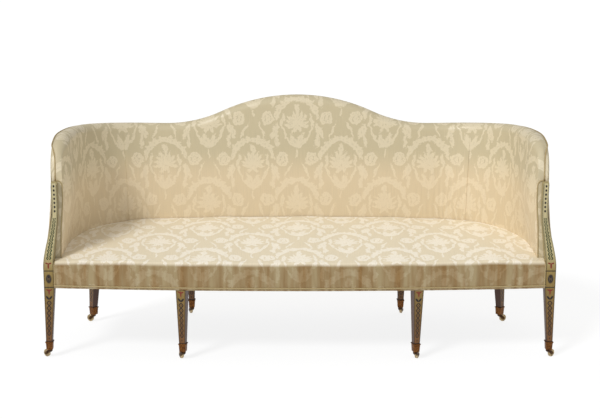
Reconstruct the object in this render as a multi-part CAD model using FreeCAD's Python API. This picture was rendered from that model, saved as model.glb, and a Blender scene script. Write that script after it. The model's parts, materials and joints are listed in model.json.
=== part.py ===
import FreeCAD, Part
import math
import os
from FreeCAD import Vector

# Camelback sofa with a tight seat, a padded wall that runs round the back and both arms, eight
# square tapered legs and a swivelling brass cup castor under each leg. Millimetres, +Z up, +X to
# the sofa's right as seen from the front, the front at -Y. While it is built, y is measured from
# the plane through the middles of the two outer front legs, and export() moves it to the frame.

# Plan of the padded wall, measured to the outer face of its wooden frame at seat height
SOFA_WIDTH = 2130.0
WALL_SIDE_INSET = 5.0
WALL_BACK_Y = 612.0
CORNER_RADIUS = 440.0
WALL_THICKNESS = 62.0
ARM_FRONT_Y = 35.3

# How far the wall leans out over LEAN_SPAN of height, at the back and at the arms
KNEE_Z = 385.0
LEAN_SPAN = 525.0
BACK_RAKE = 60.0
ARM_LEAN = -26.0

# Top line of the wall: a camel hump, a shallow valley each side and a swept arm
HUMP_TOP_Z = 1027.0
VALLEY_Z = 898.0
HUMP_WIDTH_SHARE = 0.955
HUMP_CROWN_SHARE = 0.58
CORNER_TOP_Z = 910.0
CORNER_RISE_LENGTH = 260.0
ARM_END_Z = 752.0
ARM_SWEEP_START_Y = 20.0
ARM_SWEEP_LENGTH = 300.0

# Layers of the wall, from the outer face inwards
FACE_GAP = 0.3
FRAME_RECESS = 1.0
FRAME_THICKNESS = 24.0
WEB_THICKNESS = 1.5
HESSIAN_THICKNESS = 1.0
COVER_THICKNESS = 2.0
ROLL_RADIUS = 34.0
OUTER_EDGE_DROP = 9.0
CREST_PADDING = 14.0
CREST_RAIL_HEIGHT = 55.0
CORNER_FACETS = 8
SEAM_FACETS = 2
POST_WIDTH = 34.0
PIPING_RADIUS = 2.6
CORD_SIDES = 6
ROLL_STEPS = 3
FLAT_STATIONS = 7
ARM_STATIONS = 5
CHORD_ROOM = 0.8
WEB_WIDTH = 50.0
TENON_ROOT = 1.0
WALL_WEB_SPACING = 155.0

# Seat frame and seat upholstery
RAIL_BOTTOM_Z = 306.0
RAIL_TOP_Z = 380.0
BOW_RISE = 47.0
FRONT_RAIL_THICKNESS = 28.0
STRETCHER_X = 330.0
STRETCHER_THICKNESS = 28.0
STRETCHER_BOTTOM_Z = 314.0
STRETCHER_TOP_Z = 362.0
CORNER_BLOCK_LEG = 70.0
CORNER_BLOCK_HEIGHT = 50.0
SEAT_WEB_SPACING = 150.0
SEAT_CROSS_WEB_COUNT = 4
SEAT_EDGE_Z = 424.0
SEAT_CROWN_Z = 482.0
SEAT_CROWN_SHARE = 0.62
SEAT_END_DROP = 26.0
SEAT_ROLL_STEPS = 3
SEAT_CROWN_STEPS = 6
SEAT_STATIONS = 11
SEAT_FRONT_ROLL = 26.0
BOW_ROOM = 1.0
WELT_RADIUS = 2.6
WELT_HEIGHT = 12.0
LINING_THICKNESS = 1.2

# Legs and arm stumps
BLOCK_WIDTH = 43.0
BLOCK_TOP_Z = 384.0
FOOT_WIDTH = 26.5
INNER_LEG_SHARE = 0.4677
INNER_LEG_TURN = 14.0
TENON_WIDTH = 24.0
TENON_DEPTH = 14.0
TENON_HEIGHT = 48.0
TENON_GAP = 0.2
BACK_LEG_SPLAY = 2.5
CORNER_LEG_SPLAY = 6.0
STUMP_TOP_WIDTH = 24.0
STUMP_TOP_DEPTH = 28.0
STUMP_INSET = 28.0
STUMP_WAIST = 22.0
STUMP_SLIM_SHARE = 0.5
STUMP_STAGES = (
    # height, inward sweep and backward sweep, each as a share
    (0.0, 0.0, 0.0),
    (0.16, 0.10, 0.22),
    (0.36, 0.52, 0.72),
    (0.55, 0.92, 1.0),
    (0.72, 1.0, 1.0),
    (0.87, 1.0, 0.86),
    (1.0, 1.0, 0.62),
)
ARM_TENON_WIDTH = 12.0
ARM_TENON_HEIGHT = 24.0
ARM_TENON_LENGTH = 30.0
FACING_THICKNESS = 2.0

# Cup castors
CUP_TOP_Z = 72.0
CUP_BOTTOM_Z = 36.0
CUP_FLOOR = 5.0
CUP_SHOULDER = 0.5
CUP_WALL = 1.8
CUP_TAPER = 4.0
CUP_GAP = 0.2
COLLAR_HEIGHT = 5.0
COLLAR_REACH = 2.0
COLLAR_BEVEL = 1.2
FOOT_END_Z = 45.2
WHEEL_RADIUS = 16.0
WHEEL_SIDES = 24
WHEEL_WIDTH = 10.0
WHEEL_CROWN = 1.2
WHEEL_WEB_WIDTH = 6.0
WHEEL_RIM = 4.0
HUB_RADIUS = 5.5
HUB_WIDTH = 12.0
AXLE_RADIUS = 2.5
WHEEL_ROOM = 1.0
RUNNING_GAP = 0.1
CASTOR_TRAIL = 18.0
CHEEK_THICKNESS = 3.0
CHEEK_GAP = 0.3
HORN_RADIUS = 6.0
EYE_RADIUS = 5.5
CHEEK_STEPS = 4
HORN_Z = 29.5
SWIVEL_BOSS_RADIUS = 7.5
BOSS_SIDES = 16
SWIVEL_PIN_RADIUS = 4.0
SWIVEL_HEAD_RADIUS = 6.5
SWIVEL_HEAD = 2.6
HEAD_SIDES = 12
SWIVEL_GAP = 0.3
CASTOR_TRAILS = {"front": 37.0, "front_inner": 62.0, "back_inner": 70.0, "back": 25.0}

# Places that follow from the sizes above
WALL_SIDE_X = SOFA_WIDTH / 2 - WALL_SIDE_INSET
CORNER_X = WALL_SIDE_X - CORNER_RADIUS
HUMP_HALF_WIDTH = CORNER_X * HUMP_WIDTH_SHARE
CORNER_Y = WALL_BACK_Y - CORNER_RADIUS
CORNER_ARC = CORNER_RADIUS * math.pi / 2
FRAME_INNER = FRAME_RECESS + FRAME_THICKNESS
WEB_OUTER = FRAME_INNER + FACE_GAP
HESSIAN_OUTER = WEB_OUTER + WEB_THICKNESS + FACE_GAP
STUFFING_OUTER = HESSIAN_OUTER + HESSIAN_THICKNESS + FACE_GAP
STUFFING_INSET = COVER_THICKNESS + FACE_GAP
BLOCK_X = SOFA_WIDTH / 2 - BLOCK_WIDTH / 2
INNER_LEG_X = BLOCK_X * INNER_LEG_SHARE
BOW_RADIUS = (BLOCK_X ** 2 + BOW_RISE ** 2) / (2 * BOW_RISE)
BOW_CENTRE_Y = BOW_RADIUS - BOW_RISE
FRONT_COVER_RADIUS = BOW_RADIUS + BLOCK_WIDTH / 2
RAIL_FRONT_RADIUS = FRONT_COVER_RADIUS - COVER_THICKNESS - FACE_GAP
COVER_BOTTOM_Z = RAIL_BOTTOM_Z + FACE_GAP
SEAT_WEB_Z = RAIL_TOP_Z
SEAT_CROSS_WEB_Z = SEAT_WEB_Z + WEB_THICKNESS + FACE_GAP
SEAT_HESSIAN_Z = SEAT_CROSS_WEB_Z + WEB_THICKNESS + FACE_GAP
SEAT_STUFFING_Z = SEAT_HESSIAN_Z + HESSIAN_THICKNESS + FACE_GAP
WALL_BOTTOM_Z = SEAT_STUFFING_Z
WALL_LENGTH = CORNER_X + CORNER_ARC + CORNER_Y - ARM_FRONT_Y
FACET_ANGLE = 90.0 / CORNER_FACETS
POST_ANGLE = FACET_ANGLE * (CORNER_FACETS // 2)
SEAM_AT = CORNER_X + CORNER_RADIUS * math.radians(FACET_ANGLE * SEAM_FACETS)
POST_AT = CORNER_X + CORNER_RADIUS * math.radians(90.0 - POST_ANGLE)
BACK_REACH = WALL_BACK_Y + BACK_RAKE * (HUMP_TOP_Z - OUTER_EDGE_DROP - KNEE_Z) / LEAN_SPAN
BACK_REACH += 2 * (FACE_GAP + PIPING_RADIUS)
FRONT_REACH = BOW_RISE + BLOCK_WIDTH / 2 + FACE_GAP + 2 * WELT_RADIUS
LEG_PLANE_Y = -(BACK_REACH - FRONT_REACH) / 2
SEAT_ROOM = CHORD_ROOM - ARM_LEAN * (SEAT_CROWN_Z - KNEE_Z) / LEAN_SPAN
UP = Vector(0, 0, 1)


# Geometry of the wall: a path d along its outer face, from the middle of the back, right positive.
# The corners are flat facets that touch the corner's arc from outside, where the seams may lie.
def wall_point(d):
    """Plan point and outward normal angle of the wall's outer face at the distance d."""
    side = math.copysign(1.0, d)
    run = abs(d)
    if run <= CORNER_X:
        return side * run, WALL_BACK_Y, 90.0
    if run <= CORNER_X + CORNER_ARC:
        angle = 90.0 - math.degrees((run - CORNER_X) / CORNER_RADIUS)
        touch = FACET_ANGLE * round(angle / FACET_ANGLE)
        radius = CORNER_RADIUS / math.cos(math.radians(angle - touch))
        x = CORNER_X + radius * math.cos(math.radians(angle))
        y = CORNER_Y + radius * math.sin(math.radians(angle))
        return side * x, y, angle
    return side * WALL_SIDE_X, CORNER_Y - (run - CORNER_X - CORNER_ARC), 0.0


def crest_curve(d):
    """Top of the padded wall: two tangent arcs make the hump, a quarter ellipse sweeps each arm."""
    x, y, angle = wall_point(d)
    run = abs(d)
    slope = 2 * math.atan2(HUMP_TOP_Z - VALLEY_Z, HUMP_HALF_WIDTH)
    radii = HUMP_HALF_WIDTH / math.sin(slope)
    crown = radii * HUMP_CROWN_SHARE
    if run < crown * math.sin(slope):
        return HUMP_TOP_Z - crown + math.sqrt(crown ** 2 - run ** 2)
    if run < HUMP_HALF_WIDTH:
        foot = radii - crown
        return VALLEY_Z + foot - math.sqrt(foot ** 2 - (HUMP_HALF_WIDTH - run) ** 2)
    rise = min(1.0, (run - HUMP_HALF_WIDTH) / CORNER_RISE_LENGTH)
    level = VALLEY_Z + (CORNER_TOP_Z - VALLEY_Z) * rise * rise * (3 - 2 * rise)
    back = (ARM_SWEEP_START_Y + ARM_SWEEP_LENGTH - y) / ARM_SWEEP_LENGTH
    if back <= 0:
        return level
    return ARM_END_Z + (level - ARM_END_Z) * math.sqrt(1 - back ** 2)


def spread(start, end, count):
    return [start + (end - start) * i / (count - 1) for i in range(count)]


def wall_marks():
    """Main sections of one half: along the flat, at the corner's edges, seam and post, and the arm."""
    half_facet = CORNER_ARC / CORNER_FACETS / 2
    corner_end = CORNER_X + CORNER_ARC
    marks = spread(0.0, CORNER_X, FLAT_STATIONS)
    marks += spread(CORNER_X + half_facet, corner_end - half_facet, CORNER_FACETS)
    marks += spread(corner_end, WALL_LENGTH, ARM_STATIONS)
    return sorted(marks + [SEAM_AT, POST_AT])


def between_marks(d, value):
    """Value at d on the straight line between the two main sections that lie around it."""
    side = math.copysign(1.0, d)
    marks = wall_marks()
    after = min(max(sum(mark < abs(d) for mark in marks), 1), len(marks) - 1)
    near, far = marks[after - 1], marks[after]
    share = (abs(d) - near) / (far - near)
    return value(side * near) * (1 - share) + value(side * far) * share


def crest_height(d):
    return between_marks(d, crest_curve)


def wall_vector(d, u, z):
    """Point in space at the depth u inside the wall's outer face, at the distance d."""
    return between_marks(d, lambda mark: section_vector(mark, u, z))


def section_vector(d, u, z):
    """The same point for a main section, moved out or in by the wall's lean."""
    x, y, angle = wall_point(d)
    share = math.sin(math.radians(angle)) ** 2
    lean = (ARM_LEAN + (BACK_RAKE - ARM_LEAN) * share) * max(0.0, z - KNEE_Z) / LEAN_SPAN
    side = math.copysign(1.0, d)
    normal = Vector(side * math.cos(math.radians(angle)), math.sin(math.radians(angle)), 0)
    return Vector(x, y, z) + normal * (lean - u)


def wall_wire(d, outline):
    """Closed section of the wall through (depth, height) points."""
    ring = [section_vector(d, u, z) for u, z in outline]
    return Part.makePolygon(ring + [ring[0]])


def wall_stations(start, end):
    """Sections between two distances: both ends and every main section between them."""
    marks = wall_marks()
    marks += [-mark for mark in marks[1:]]
    gap = FACE_GAP * 2
    inside = [mark for mark in marks if start + gap < mark < end - gap]
    return sorted([start, end] + inside)


def wall_loft(start, end, outline):
    """Solid carried along the wall; outline(d) gives its section as (depth, height) points."""
    wires = [wall_wire(d, outline(d)) for d in wall_stations(start, end)]
    return Part.makeLoft(wires, True, True)


# Sections of the wall's layers
def roll_points(d, inset, bottom, outer):
    """Padded face from its foot, up and over the roll to the outer edge, at an inset."""
    crest = crest_height(d)
    reach = ROLL_RADIUS - inset
    middle = WALL_THICKNESS - ROLL_RADIUS
    points = [(WALL_THICKNESS - inset, bottom)]
    for i in range(ROLL_STEPS + 1):
        turn = math.radians(90.0 * i / ROLL_STEPS)
        points.append((middle + reach * math.cos(turn), crest - ROLL_RADIUS + reach * math.sin(turn)))
    return points + [(outer, crest - inset - OUTER_EDGE_DROP)]


def cover_outline(d):
    outer = roll_points(d, 0.0, WALL_BOTTOM_Z, -FACE_GAP)
    inner = roll_points(d, COVER_THICKNESS, WALL_BOTTOM_Z, -FACE_GAP)
    return outer + inner[::-1]


def stuffing_outline(d):
    crest = crest_height(d)
    seat = crest - CREST_PADDING + FACE_GAP
    return roll_points(d, STUFFING_INSET, WALL_BOTTOM_Z, FRAME_RECESS) + [
        (FRAME_RECESS, seat),
        (STUFFING_OUTER, seat),
        (STUFFING_OUTER, WALL_BOTTOM_Z),
    ]


def hessian_outline(d):
    top = crest_height(d) - CREST_PADDING
    return [
        (HESSIAN_OUTER, WALL_BOTTOM_Z),
        (HESSIAN_OUTER, top),
        (HESSIAN_OUTER + HESSIAN_THICKNESS, top),
        (HESSIAN_OUTER + HESSIAN_THICKNESS, WALL_BOTTOM_Z),
    ]


def web_outline(d):
    top = crest_height(d) - CREST_PADDING - FACE_GAP
    return [
        (WEB_OUTER, WALL_BOTTOM_Z),
        (WEB_OUTER, top),
        (WEB_OUTER + WEB_THICKNESS, top),
        (WEB_OUTER + WEB_THICKNESS, WALL_BOTTOM_Z),
    ]


def crest_rail_outline(d):
    top = crest_height(d) - CREST_PADDING
    return [
        (FRAME_RECESS, top - CREST_RAIL_HEIGHT),
        (FRAME_RECESS, top),
        (FRAME_INNER, top),
        (FRAME_INNER, top - CREST_RAIL_HEIGHT),
    ]


def outside_outline(d):
    top = crest_height(d) - OUTER_EDGE_DROP - COVER_THICKNESS - 2 * FACE_GAP
    outer = -FACE_GAP - COVER_THICKNESS
    return [
        (-FACE_GAP, COVER_BOTTOM_Z),
        (-FACE_GAP, KNEE_Z),
        (-FACE_GAP, top),
        (outer, top),
        (outer, KNEE_Z),
        (outer, COVER_BOTTOM_Z),
    ]


def piping_outline(d):
    """Round cord laid along the outer top edge, where the inside and outside covers meet."""
    u = -FACE_GAP - PIPING_RADIUS - FACE_GAP
    z = crest_height(d) - OUTER_EDGE_DROP
    turns = [2 * math.pi * i / CORD_SIDES for i in range(CORD_SIDES)]
    return [(u + PIPING_RADIUS * math.cos(t), z + PIPING_RADIUS * math.sin(t)) for t in turns]


# Seat plan
def bow_y(x, radius):
    return BOW_CENTRE_Y - math.sqrt(radius ** 2 - x ** 2)


def box(x0, x1, y0, y1, z0, z1):
    return Part.makeBox(x1 - x0, y1 - y0, z1 - z0, Vector(x0, y0, z0))


def seat_plan(depth, front_radius, half_front, step_y):
    """Face of the seat: bowed front, straight sides and round back corners, inside the wall."""
    side = WALL_SIDE_X - depth
    back = WALL_BACK_Y - depth
    bend = (CORNER_RADIUS - depth) * math.sqrt(0.5)
    front = bow_y(half_front, front_radius)
    left = Vector(-half_front, front, 0)
    right = Vector(half_front, front, 0)
    edges = [Part.Arc(left, Vector(0, bow_y(0, front_radius), 0), right).toShape()]
    path = [right]
    if step_y is not None:
        path += [Vector(half_front, step_y, 0), Vector(side, step_y, 0)]
    path.append(Vector(side, CORNER_Y, 0))
    for a, b in zip(path, path[1:]):
        edges.append(Part.LineSegment(a, b).toShape())
    for sign in (1, -1):
        arm = Vector(sign * side, CORNER_Y, 0)
        middle = Vector(sign * (CORNER_X + bend), CORNER_Y + bend, 0)
        end = Vector(sign * CORNER_X, back, 0)
        if sign > 0:
            edges.append(Part.Arc(arm, middle, end).toShape())
            edges.append(Part.LineSegment(end, Vector(-CORNER_X, back, 0)).toShape())
        else:
            edges.append(Part.Arc(end, middle, arm).toShape())
    mirrored = [Vector(-p.x, p.y, 0) for p in path[::-1]]
    for a, b in zip(mirrored, mirrored[1:]):
        edges.append(Part.LineSegment(a, b).toShape())
    return Part.Face(Part.Wire(edges))


def raised(face, z0, z1):
    prism = face.extrude(UP * (z1 - z0))
    prism.translate(UP * z0)
    return prism


def seat_section(x, radius, bottom, drop):
    """Side profile of the seat at x: upright front, quarter-round edge, low crown to the back."""
    front = bow_y(x, radius + BOW_ROOM)
    roll = SEAT_FRONT_ROLL - drop
    edge = SEAT_EDGE_Z - drop
    ring = [Vector(x, front, bottom)]
    for turn in spread(0.0, math.pi / 2, SEAT_ROLL_STEPS + 1):
        ring.append(Vector(x, front + roll * (1 - math.cos(turn)), edge - roll * (1 - math.sin(turn))))
    end = (x / WALL_SIDE_X) ** 2
    rise = SEAT_CROWN_Z - SEAT_EDGE_Z - SEAT_END_DROP * end
    for share in spread(0.0, 1.0, SEAT_CROWN_STEPS + 1)[1:]:
        y = front + roll + (WALL_BACK_Y - front - roll) * share
        ring.append(Vector(x, y, edge + rise * math.sin(math.pi * SEAT_CROWN_SHARE * share)))
    ring.append(Vector(x, WALL_BACK_Y, bottom))
    return Part.makePolygon(ring + [ring[0]])


def seat_body(depth, front_radius, half_front, step_y, bottom, drop):
    """Seat padding or cover: profiles across the width, trimmed to the seat's plan."""
    across = spread(-WALL_SIDE_X, WALL_SIDE_X, SEAT_STATIONS)
    dome = Part.makeLoft([seat_section(x, front_radius, bottom, drop) for x in across], True, True)
    plan = seat_plan(depth, front_radius, half_front, step_y)
    return raised(plan, bottom, SEAT_CROWN_Z + BOW_ROOM).common(dome)


# Solids with flat faces
def flat_solid(rings):
    """Closed solid with flat faces between rings that have the same number of corners."""
    outlines = [rings[0], rings[-1]]
    for low, high in zip(rings, rings[1:]):
        outlines += [[low[i - 1], low[i], high[i], high[i - 1]] for i in range(len(low))]
    shell = Part.makeShell([Part.Face(Part.makePolygon(ring + [ring[0]])) for ring in outlines])
    shell.sewShape()
    solid = Part.makeSolid(shell)
    if solid.Volume < 0:
        solid.reverse()
    return solid


def square_ring(x, y, z, wide, deep, turn=0.0):
    """Corners of a level rectangle round (x, y), turned about its own middle."""
    cos, sin = math.cos(math.radians(turn)), math.sin(math.radians(turn))
    corners = [(-wide / 2, -deep / 2), (wide / 2, -deep / 2), (wide / 2, deep / 2), (-wide / 2, deep / 2)]
    return [Vector(x + a * cos - b * sin, y + a * sin + b * cos, z) for a, b in corners]


def polygon_ring(radius, sides, centre, first, second):
    """Corners of a regular polygon that touches the circle from outside, with a flat face down."""
    reach = radius / math.cos(math.pi / sides)
    turns = [math.pi * (2 * i + 1) / sides for i in range(sides)]
    return [centre + first * reach * math.cos(t) + second * reach * math.sin(t) for t in turns]


# Wooden pieces
def leg_shaft(top_centre, foot_centre, turn=0.0):
    """Square tapered leg and the smaller end that the castor cup takes."""
    shaft = flat_solid([
        square_ring(*top_centre, RAIL_BOTTOM_Z, BLOCK_WIDTH, BLOCK_WIDTH, turn),
        square_ring(*foot_centre, CUP_TOP_Z, FOOT_WIDTH, FOOT_WIDTH, turn),
    ])
    end = foot_end(*foot_centre, 0.0, FOOT_END_Z, CUP_TOP_Z, turn)
    return shaft.fuse(end)


def foot_end(x, y, grow, z0, z1, turn=0.0):
    """Tapered square that fits the cup, grown for the cup's inside."""
    rings = []
    for z in (z0, z1):
        share = (CUP_TOP_Z - z) / (CUP_TOP_Z - CUP_BOTTOM_Z)
        width = FOOT_WIDTH - 2 * CUP_SHOULDER - CUP_TAPER * share + 2 * grow
        rings.append(square_ring(x, y, z, width, width, turn))
    return flat_solid(rings)


def turned(shape, x, y, angle):
    return shape.rotate(Vector(x, y, 0), UP, angle)


def foot_centres():
    """Plan centre of each foot and of the leg's top, right side of the sofa."""
    outer = SOFA_WIDTH / 2 - FOOT_WIDTH / 2
    front = -BLOCK_WIDTH / 2 + FOOT_WIDTH / 2
    inner_y = bow_y(INNER_LEG_X, BOW_RADIUS)
    leg_drop = RAIL_BOTTOM_Z - CUP_TOP_Z
    back_y = WALL_BACK_Y - FRAME_RECESS - BLOCK_WIDTH / 2
    kick = leg_drop * math.tan(math.radians(BACK_LEG_SPLAY))
    corner = CORNER_RADIUS - FRAME_RECESS - BLOCK_WIDTH / 2
    splay = leg_drop * math.tan(math.radians(CORNER_LEG_SPLAY))
    cx, cy = math.cos(math.radians(POST_ANGLE)), math.sin(math.radians(POST_ANGLE))
    corner_top = (CORNER_X + corner * cx, CORNER_Y + corner * cy)
    corner_foot = (CORNER_X + (corner + splay) * cx, CORNER_Y + (corner + splay) * cy)
    return {
        "front": ((BLOCK_X, 0.0), (outer, front)),
        "front_inner": ((INNER_LEG_X, inner_y), (INNER_LEG_X, inner_y)),
        "back_inner": ((INNER_LEG_X, back_y), (INNER_LEG_X, back_y + kick)),
        "back": (corner_top, corner_foot),
    }


def stump():
    """Arm support: a square post that sweeps in and back, then forward, with a rounded top."""
    edge = SOFA_WIDTH / 2
    top = ARM_END_Z - STUMP_TOP_DEPTH / 2
    wires = []
    for up, inward, back in STUMP_STAGES:
        z = BLOCK_TOP_Z + (top - BLOCK_TOP_Z) * up
        slim = min(1.0, up / STUMP_SLIM_SHARE)
        wide = BLOCK_WIDTH + (STUMP_TOP_WIDTH - BLOCK_WIDTH) * slim
        deep = BLOCK_WIDTH + (STUMP_TOP_DEPTH - BLOCK_WIDTH) * slim
        x = edge - STUMP_INSET * inward - wide / 2
        y = -BLOCK_WIDTH / 2 + STUMP_WAIST * back + deep / 2
        ring = square_ring(x, y, z, wide, deep)
        wires.append(Part.makePolygon(ring + [ring[0]]))
    post = Part.makeLoft(wires, True, False)
    x0 = edge - STUMP_INSET - STUMP_TOP_WIDTH
    knuckle = Part.makeCylinder(STUMP_TOP_DEPTH / 2, STUMP_TOP_WIDTH, Vector(x0, y, top), Vector(1, 0, 0))
    return post.fuse(knuckle), y


def arm_tenon(grow):
    """Tenon on the front end of the arm rail, which enters the back of the stump."""
    d = WALL_LENGTH
    z1 = crest_height(d) - CREST_PADDING - CREST_RAIL_HEIGHT / 2 + ARM_TENON_HEIGHT / 2
    z0 = z1 - ARM_TENON_HEIGHT
    rail_x = wall_vector(d, FRAME_RECESS + FRAME_THICKNESS / 2, z0).x
    stump_x = SOFA_WIDTH / 2 - STUMP_INSET - STUMP_TOP_WIDTH / 2
    x = (rail_x + stump_x) / 2
    wide = ARM_TENON_WIDTH / 2 + grow
    start = ARM_FRONT_Y - ARM_TENON_LENGTH - grow
    return box(x - wide, x + wide, start, ARM_FRONT_Y + TENON_ROOT, z0 - grow, z1 + grow)


def front_leg():
    top, foot = foot_centres()["front"]
    half = BLOCK_WIDTH / 2
    block = box(BLOCK_X - half, BLOCK_X + half, -half, half, RAIL_BOTTOM_Z, BLOCK_TOP_Z)
    support, stump_y = stump()
    leg = leg_shaft(top, foot).fuse([block, support])
    return leg.cut([arm_tenon(TENON_GAP), front_rail_tenon(TENON_GAP)]).removeSplitter()


def rail_tenon(x, y, grow):
    wide, deep = TENON_WIDTH / 2 + grow, TENON_DEPTH / 2 + grow
    return box(x - wide, x + wide, y - deep, y + deep, RAIL_BOTTOM_Z, RAIL_BOTTOM_Z + TENON_HEIGHT + grow)


def front_rail_tenon(grow):
    """Tenon on the end of the bowed rail, which enters the side of the front block."""
    x = BLOCK_X - BLOCK_WIDTH / 2
    y = bow_y(x, RAIL_FRONT_RADIUS - FRONT_RAIL_THICKNESS / 2)
    deep = TENON_DEPTH / 2 + grow
    z = (RAIL_BOTTOM_Z + RAIL_TOP_Z) / 2
    high = TENON_HEIGHT / 2 + grow
    return box(x - TENON_ROOT, x + TENON_WIDTH + grow, y - deep, y + deep, z - high, z + high)


def inner_front_leg():
    top, foot = foot_centres()["front_inner"]
    y = rail_middle_y(INNER_LEG_X)
    shaft = leg_shaft(top, foot, INNER_LEG_TURN)
    return shaft.fuse(rail_tenon(top[0], y, 0.0)).removeSplitter()


def rail_middle_y(x):
    return bow_y(x, RAIL_FRONT_RADIUS - FRONT_RAIL_THICKNESS / 2)


def upright(d):
    """Post that carries on from a back leg to the crest rail, inside the wall."""
    half = POST_WIDTH / 2
    under = min(crest_height(d - half), crest_height(d), crest_height(d + half))
    under -= CREST_PADDING + CREST_RAIL_HEIGHT + TENON_GAP
    corners = [(d - half, FRAME_RECESS), (d + half, FRAME_RECESS)]
    corners += [(along, FRAME_INNER) for along, u in corners[::-1]]
    wires = []
    for z in (RAIL_TOP_Z, KNEE_Z, under):
        ring = [wall_vector(along, u, z) for along, u in corners]
        wires.append(Part.makePolygon(ring + [ring[0]]))
    return Part.makeLoft(wires, True, True)


def back_leg(kind, d):
    """Back leg, the block that the seat rails meet, and the upright above it."""
    top, foot = foot_centres()[kind]
    angle = wall_point(d)[2]
    half = BLOCK_WIDTH / 2
    block = box(top[0] - half, top[0] + half, top[1] - half, top[1] + half, RAIL_BOTTOM_Z, RAIL_TOP_Z)
    turn = 0.0 if kind == "back_inner" else angle - 90.0
    block = turned(block, *top, turn)
    return leg_shaft(top, foot, turn).fuse([block, upright(d)]).removeSplitter()


def post_clearance(kind, d):
    """Room that a back leg's block and upright take out of the seat rails."""
    top = foot_centres()[kind][0]
    half = BLOCK_WIDTH / 2 + TENON_GAP
    block = box(top[0] - half, top[0] + half, top[1] - half, top[1] + half, 0, SEAT_EDGE_Z)
    turn = 0.0 if kind == "back_inner" else wall_point(d)[2] - 90.0
    return turned(block, *top, turn)


def mirrored(shape):
    return shape.mirror(Vector(0, 0, 0), Vector(1, 0, 0))


def front_seat_rail():
    half = BLOCK_X - BLOCK_WIDTH / 2
    outer = RAIL_FRONT_RADIUS
    inner = RAIL_FRONT_RADIUS - FRONT_RAIL_THICKNESS
    turns = ((-1, outer), (1, outer), (1, inner), (-1, inner))
    corners = [Vector(side * half, bow_y(half, radius), 0) for side, radius in turns]
    edges = [
        Part.Arc(corners[0], Vector(0, bow_y(0, outer), 0), corners[1]).toShape(),
        Part.LineSegment(corners[1], corners[2]).toShape(),
        Part.Arc(corners[2], Vector(0, bow_y(0, inner), 0), corners[3]).toShape(),
        Part.LineSegment(corners[3], corners[0]).toShape(),
    ]
    rail = raised(Part.Face(Part.Wire(edges)), RAIL_BOTTOM_Z, RAIL_TOP_Z)
    tenon = front_rail_tenon(0.0)
    rail = rail.fuse([tenon, mirrored(tenon)])
    mortise = rail_tenon(INNER_LEG_X, rail_middle_y(INNER_LEG_X), TENON_GAP)
    return rail.cut([mortise, mirrored(mortise)]).removeSplitter()


def seat_ring():
    """Side and back seat rails in one ring, before the posts cut them apart."""
    half = BLOCK_WIDTH / 2
    outer = seat_plan(FRAME_RECESS, BOW_RADIUS, WALL_SIDE_X - FRAME_RECESS, None)
    inner = seat_plan(FRAME_INNER, BOW_RADIUS, WALL_SIDE_X - FRAME_INNER, None)
    ring = raised(outer, RAIL_BOTTOM_Z, RAIL_TOP_Z).cut(raised(inner, RAIL_BOTTOM_Z, RAIL_TOP_Z))
    front = box(-SOFA_WIDTH, SOFA_WIDTH, -SOFA_WIDTH, half, 0, SEAT_CROWN_Z)
    posts = [post_clearance("back_inner", INNER_LEG_X), post_clearance("back", POST_AT)]
    posts += [mirrored(p) for p in posts]
    return ring.cut([front] + posts).Solids


def seat_rails():
    solids = seat_ring()
    sides = [s for s in solids if s.CenterOfMass.y < CORNER_Y + CORNER_RADIUS / 2]
    backs = [s for s in solids if s.CenterOfMass.y >= CORNER_Y + CORNER_RADIUS / 2]
    return Part.makeCompound(sides), Part.makeCompound(backs)


def stretchers():
    half = STRETCHER_THICKNESS / 2
    y0 = bow_y(STRETCHER_X + half, RAIL_FRONT_RADIUS - FRONT_RAIL_THICKNESS) + FACE_GAP
    y1 = WALL_BACK_Y - FRAME_INNER - FACE_GAP
    bars = []
    for x in (-STRETCHER_X, STRETCHER_X):
        bars.append(box(x - half, x + half, y0, y1, STRETCHER_BOTTOM_Z, STRETCHER_TOP_Z))
    return bars


def corner_blocks():
    """Triangular blocks glued behind the front legs, between the front and side rails."""
    x = WALL_SIDE_X - FRAME_INNER - FACE_GAP
    y = BLOCK_WIDTH / 2 + FACE_GAP
    z = RAIL_TOP_Z - CORNER_BLOCK_HEIGHT
    leg = CORNER_BLOCK_LEG
    inner = BLOCK_X - BLOCK_WIDTH / 2
    ring = [Vector(x, y, z), Vector(x, y + leg, z), Vector(inner, y + leg / 2, z), Vector(inner, y, z)]
    prism = Part.Face(Part.makePolygon(ring + [ring[0]])).extrude(UP * (CORNER_BLOCK_HEIGHT - FACE_GAP))
    return [prism, mirrored(prism)]


def arm_rail():
    """Swept top rail of the arm, from the corner post to the tenon in the stump."""
    rail = wall_loft(POST_AT + TENON_GAP, WALL_LENGTH, crest_rail_outline)
    return rail.fuse(arm_tenon(0.0)).removeSplitter()


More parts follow.
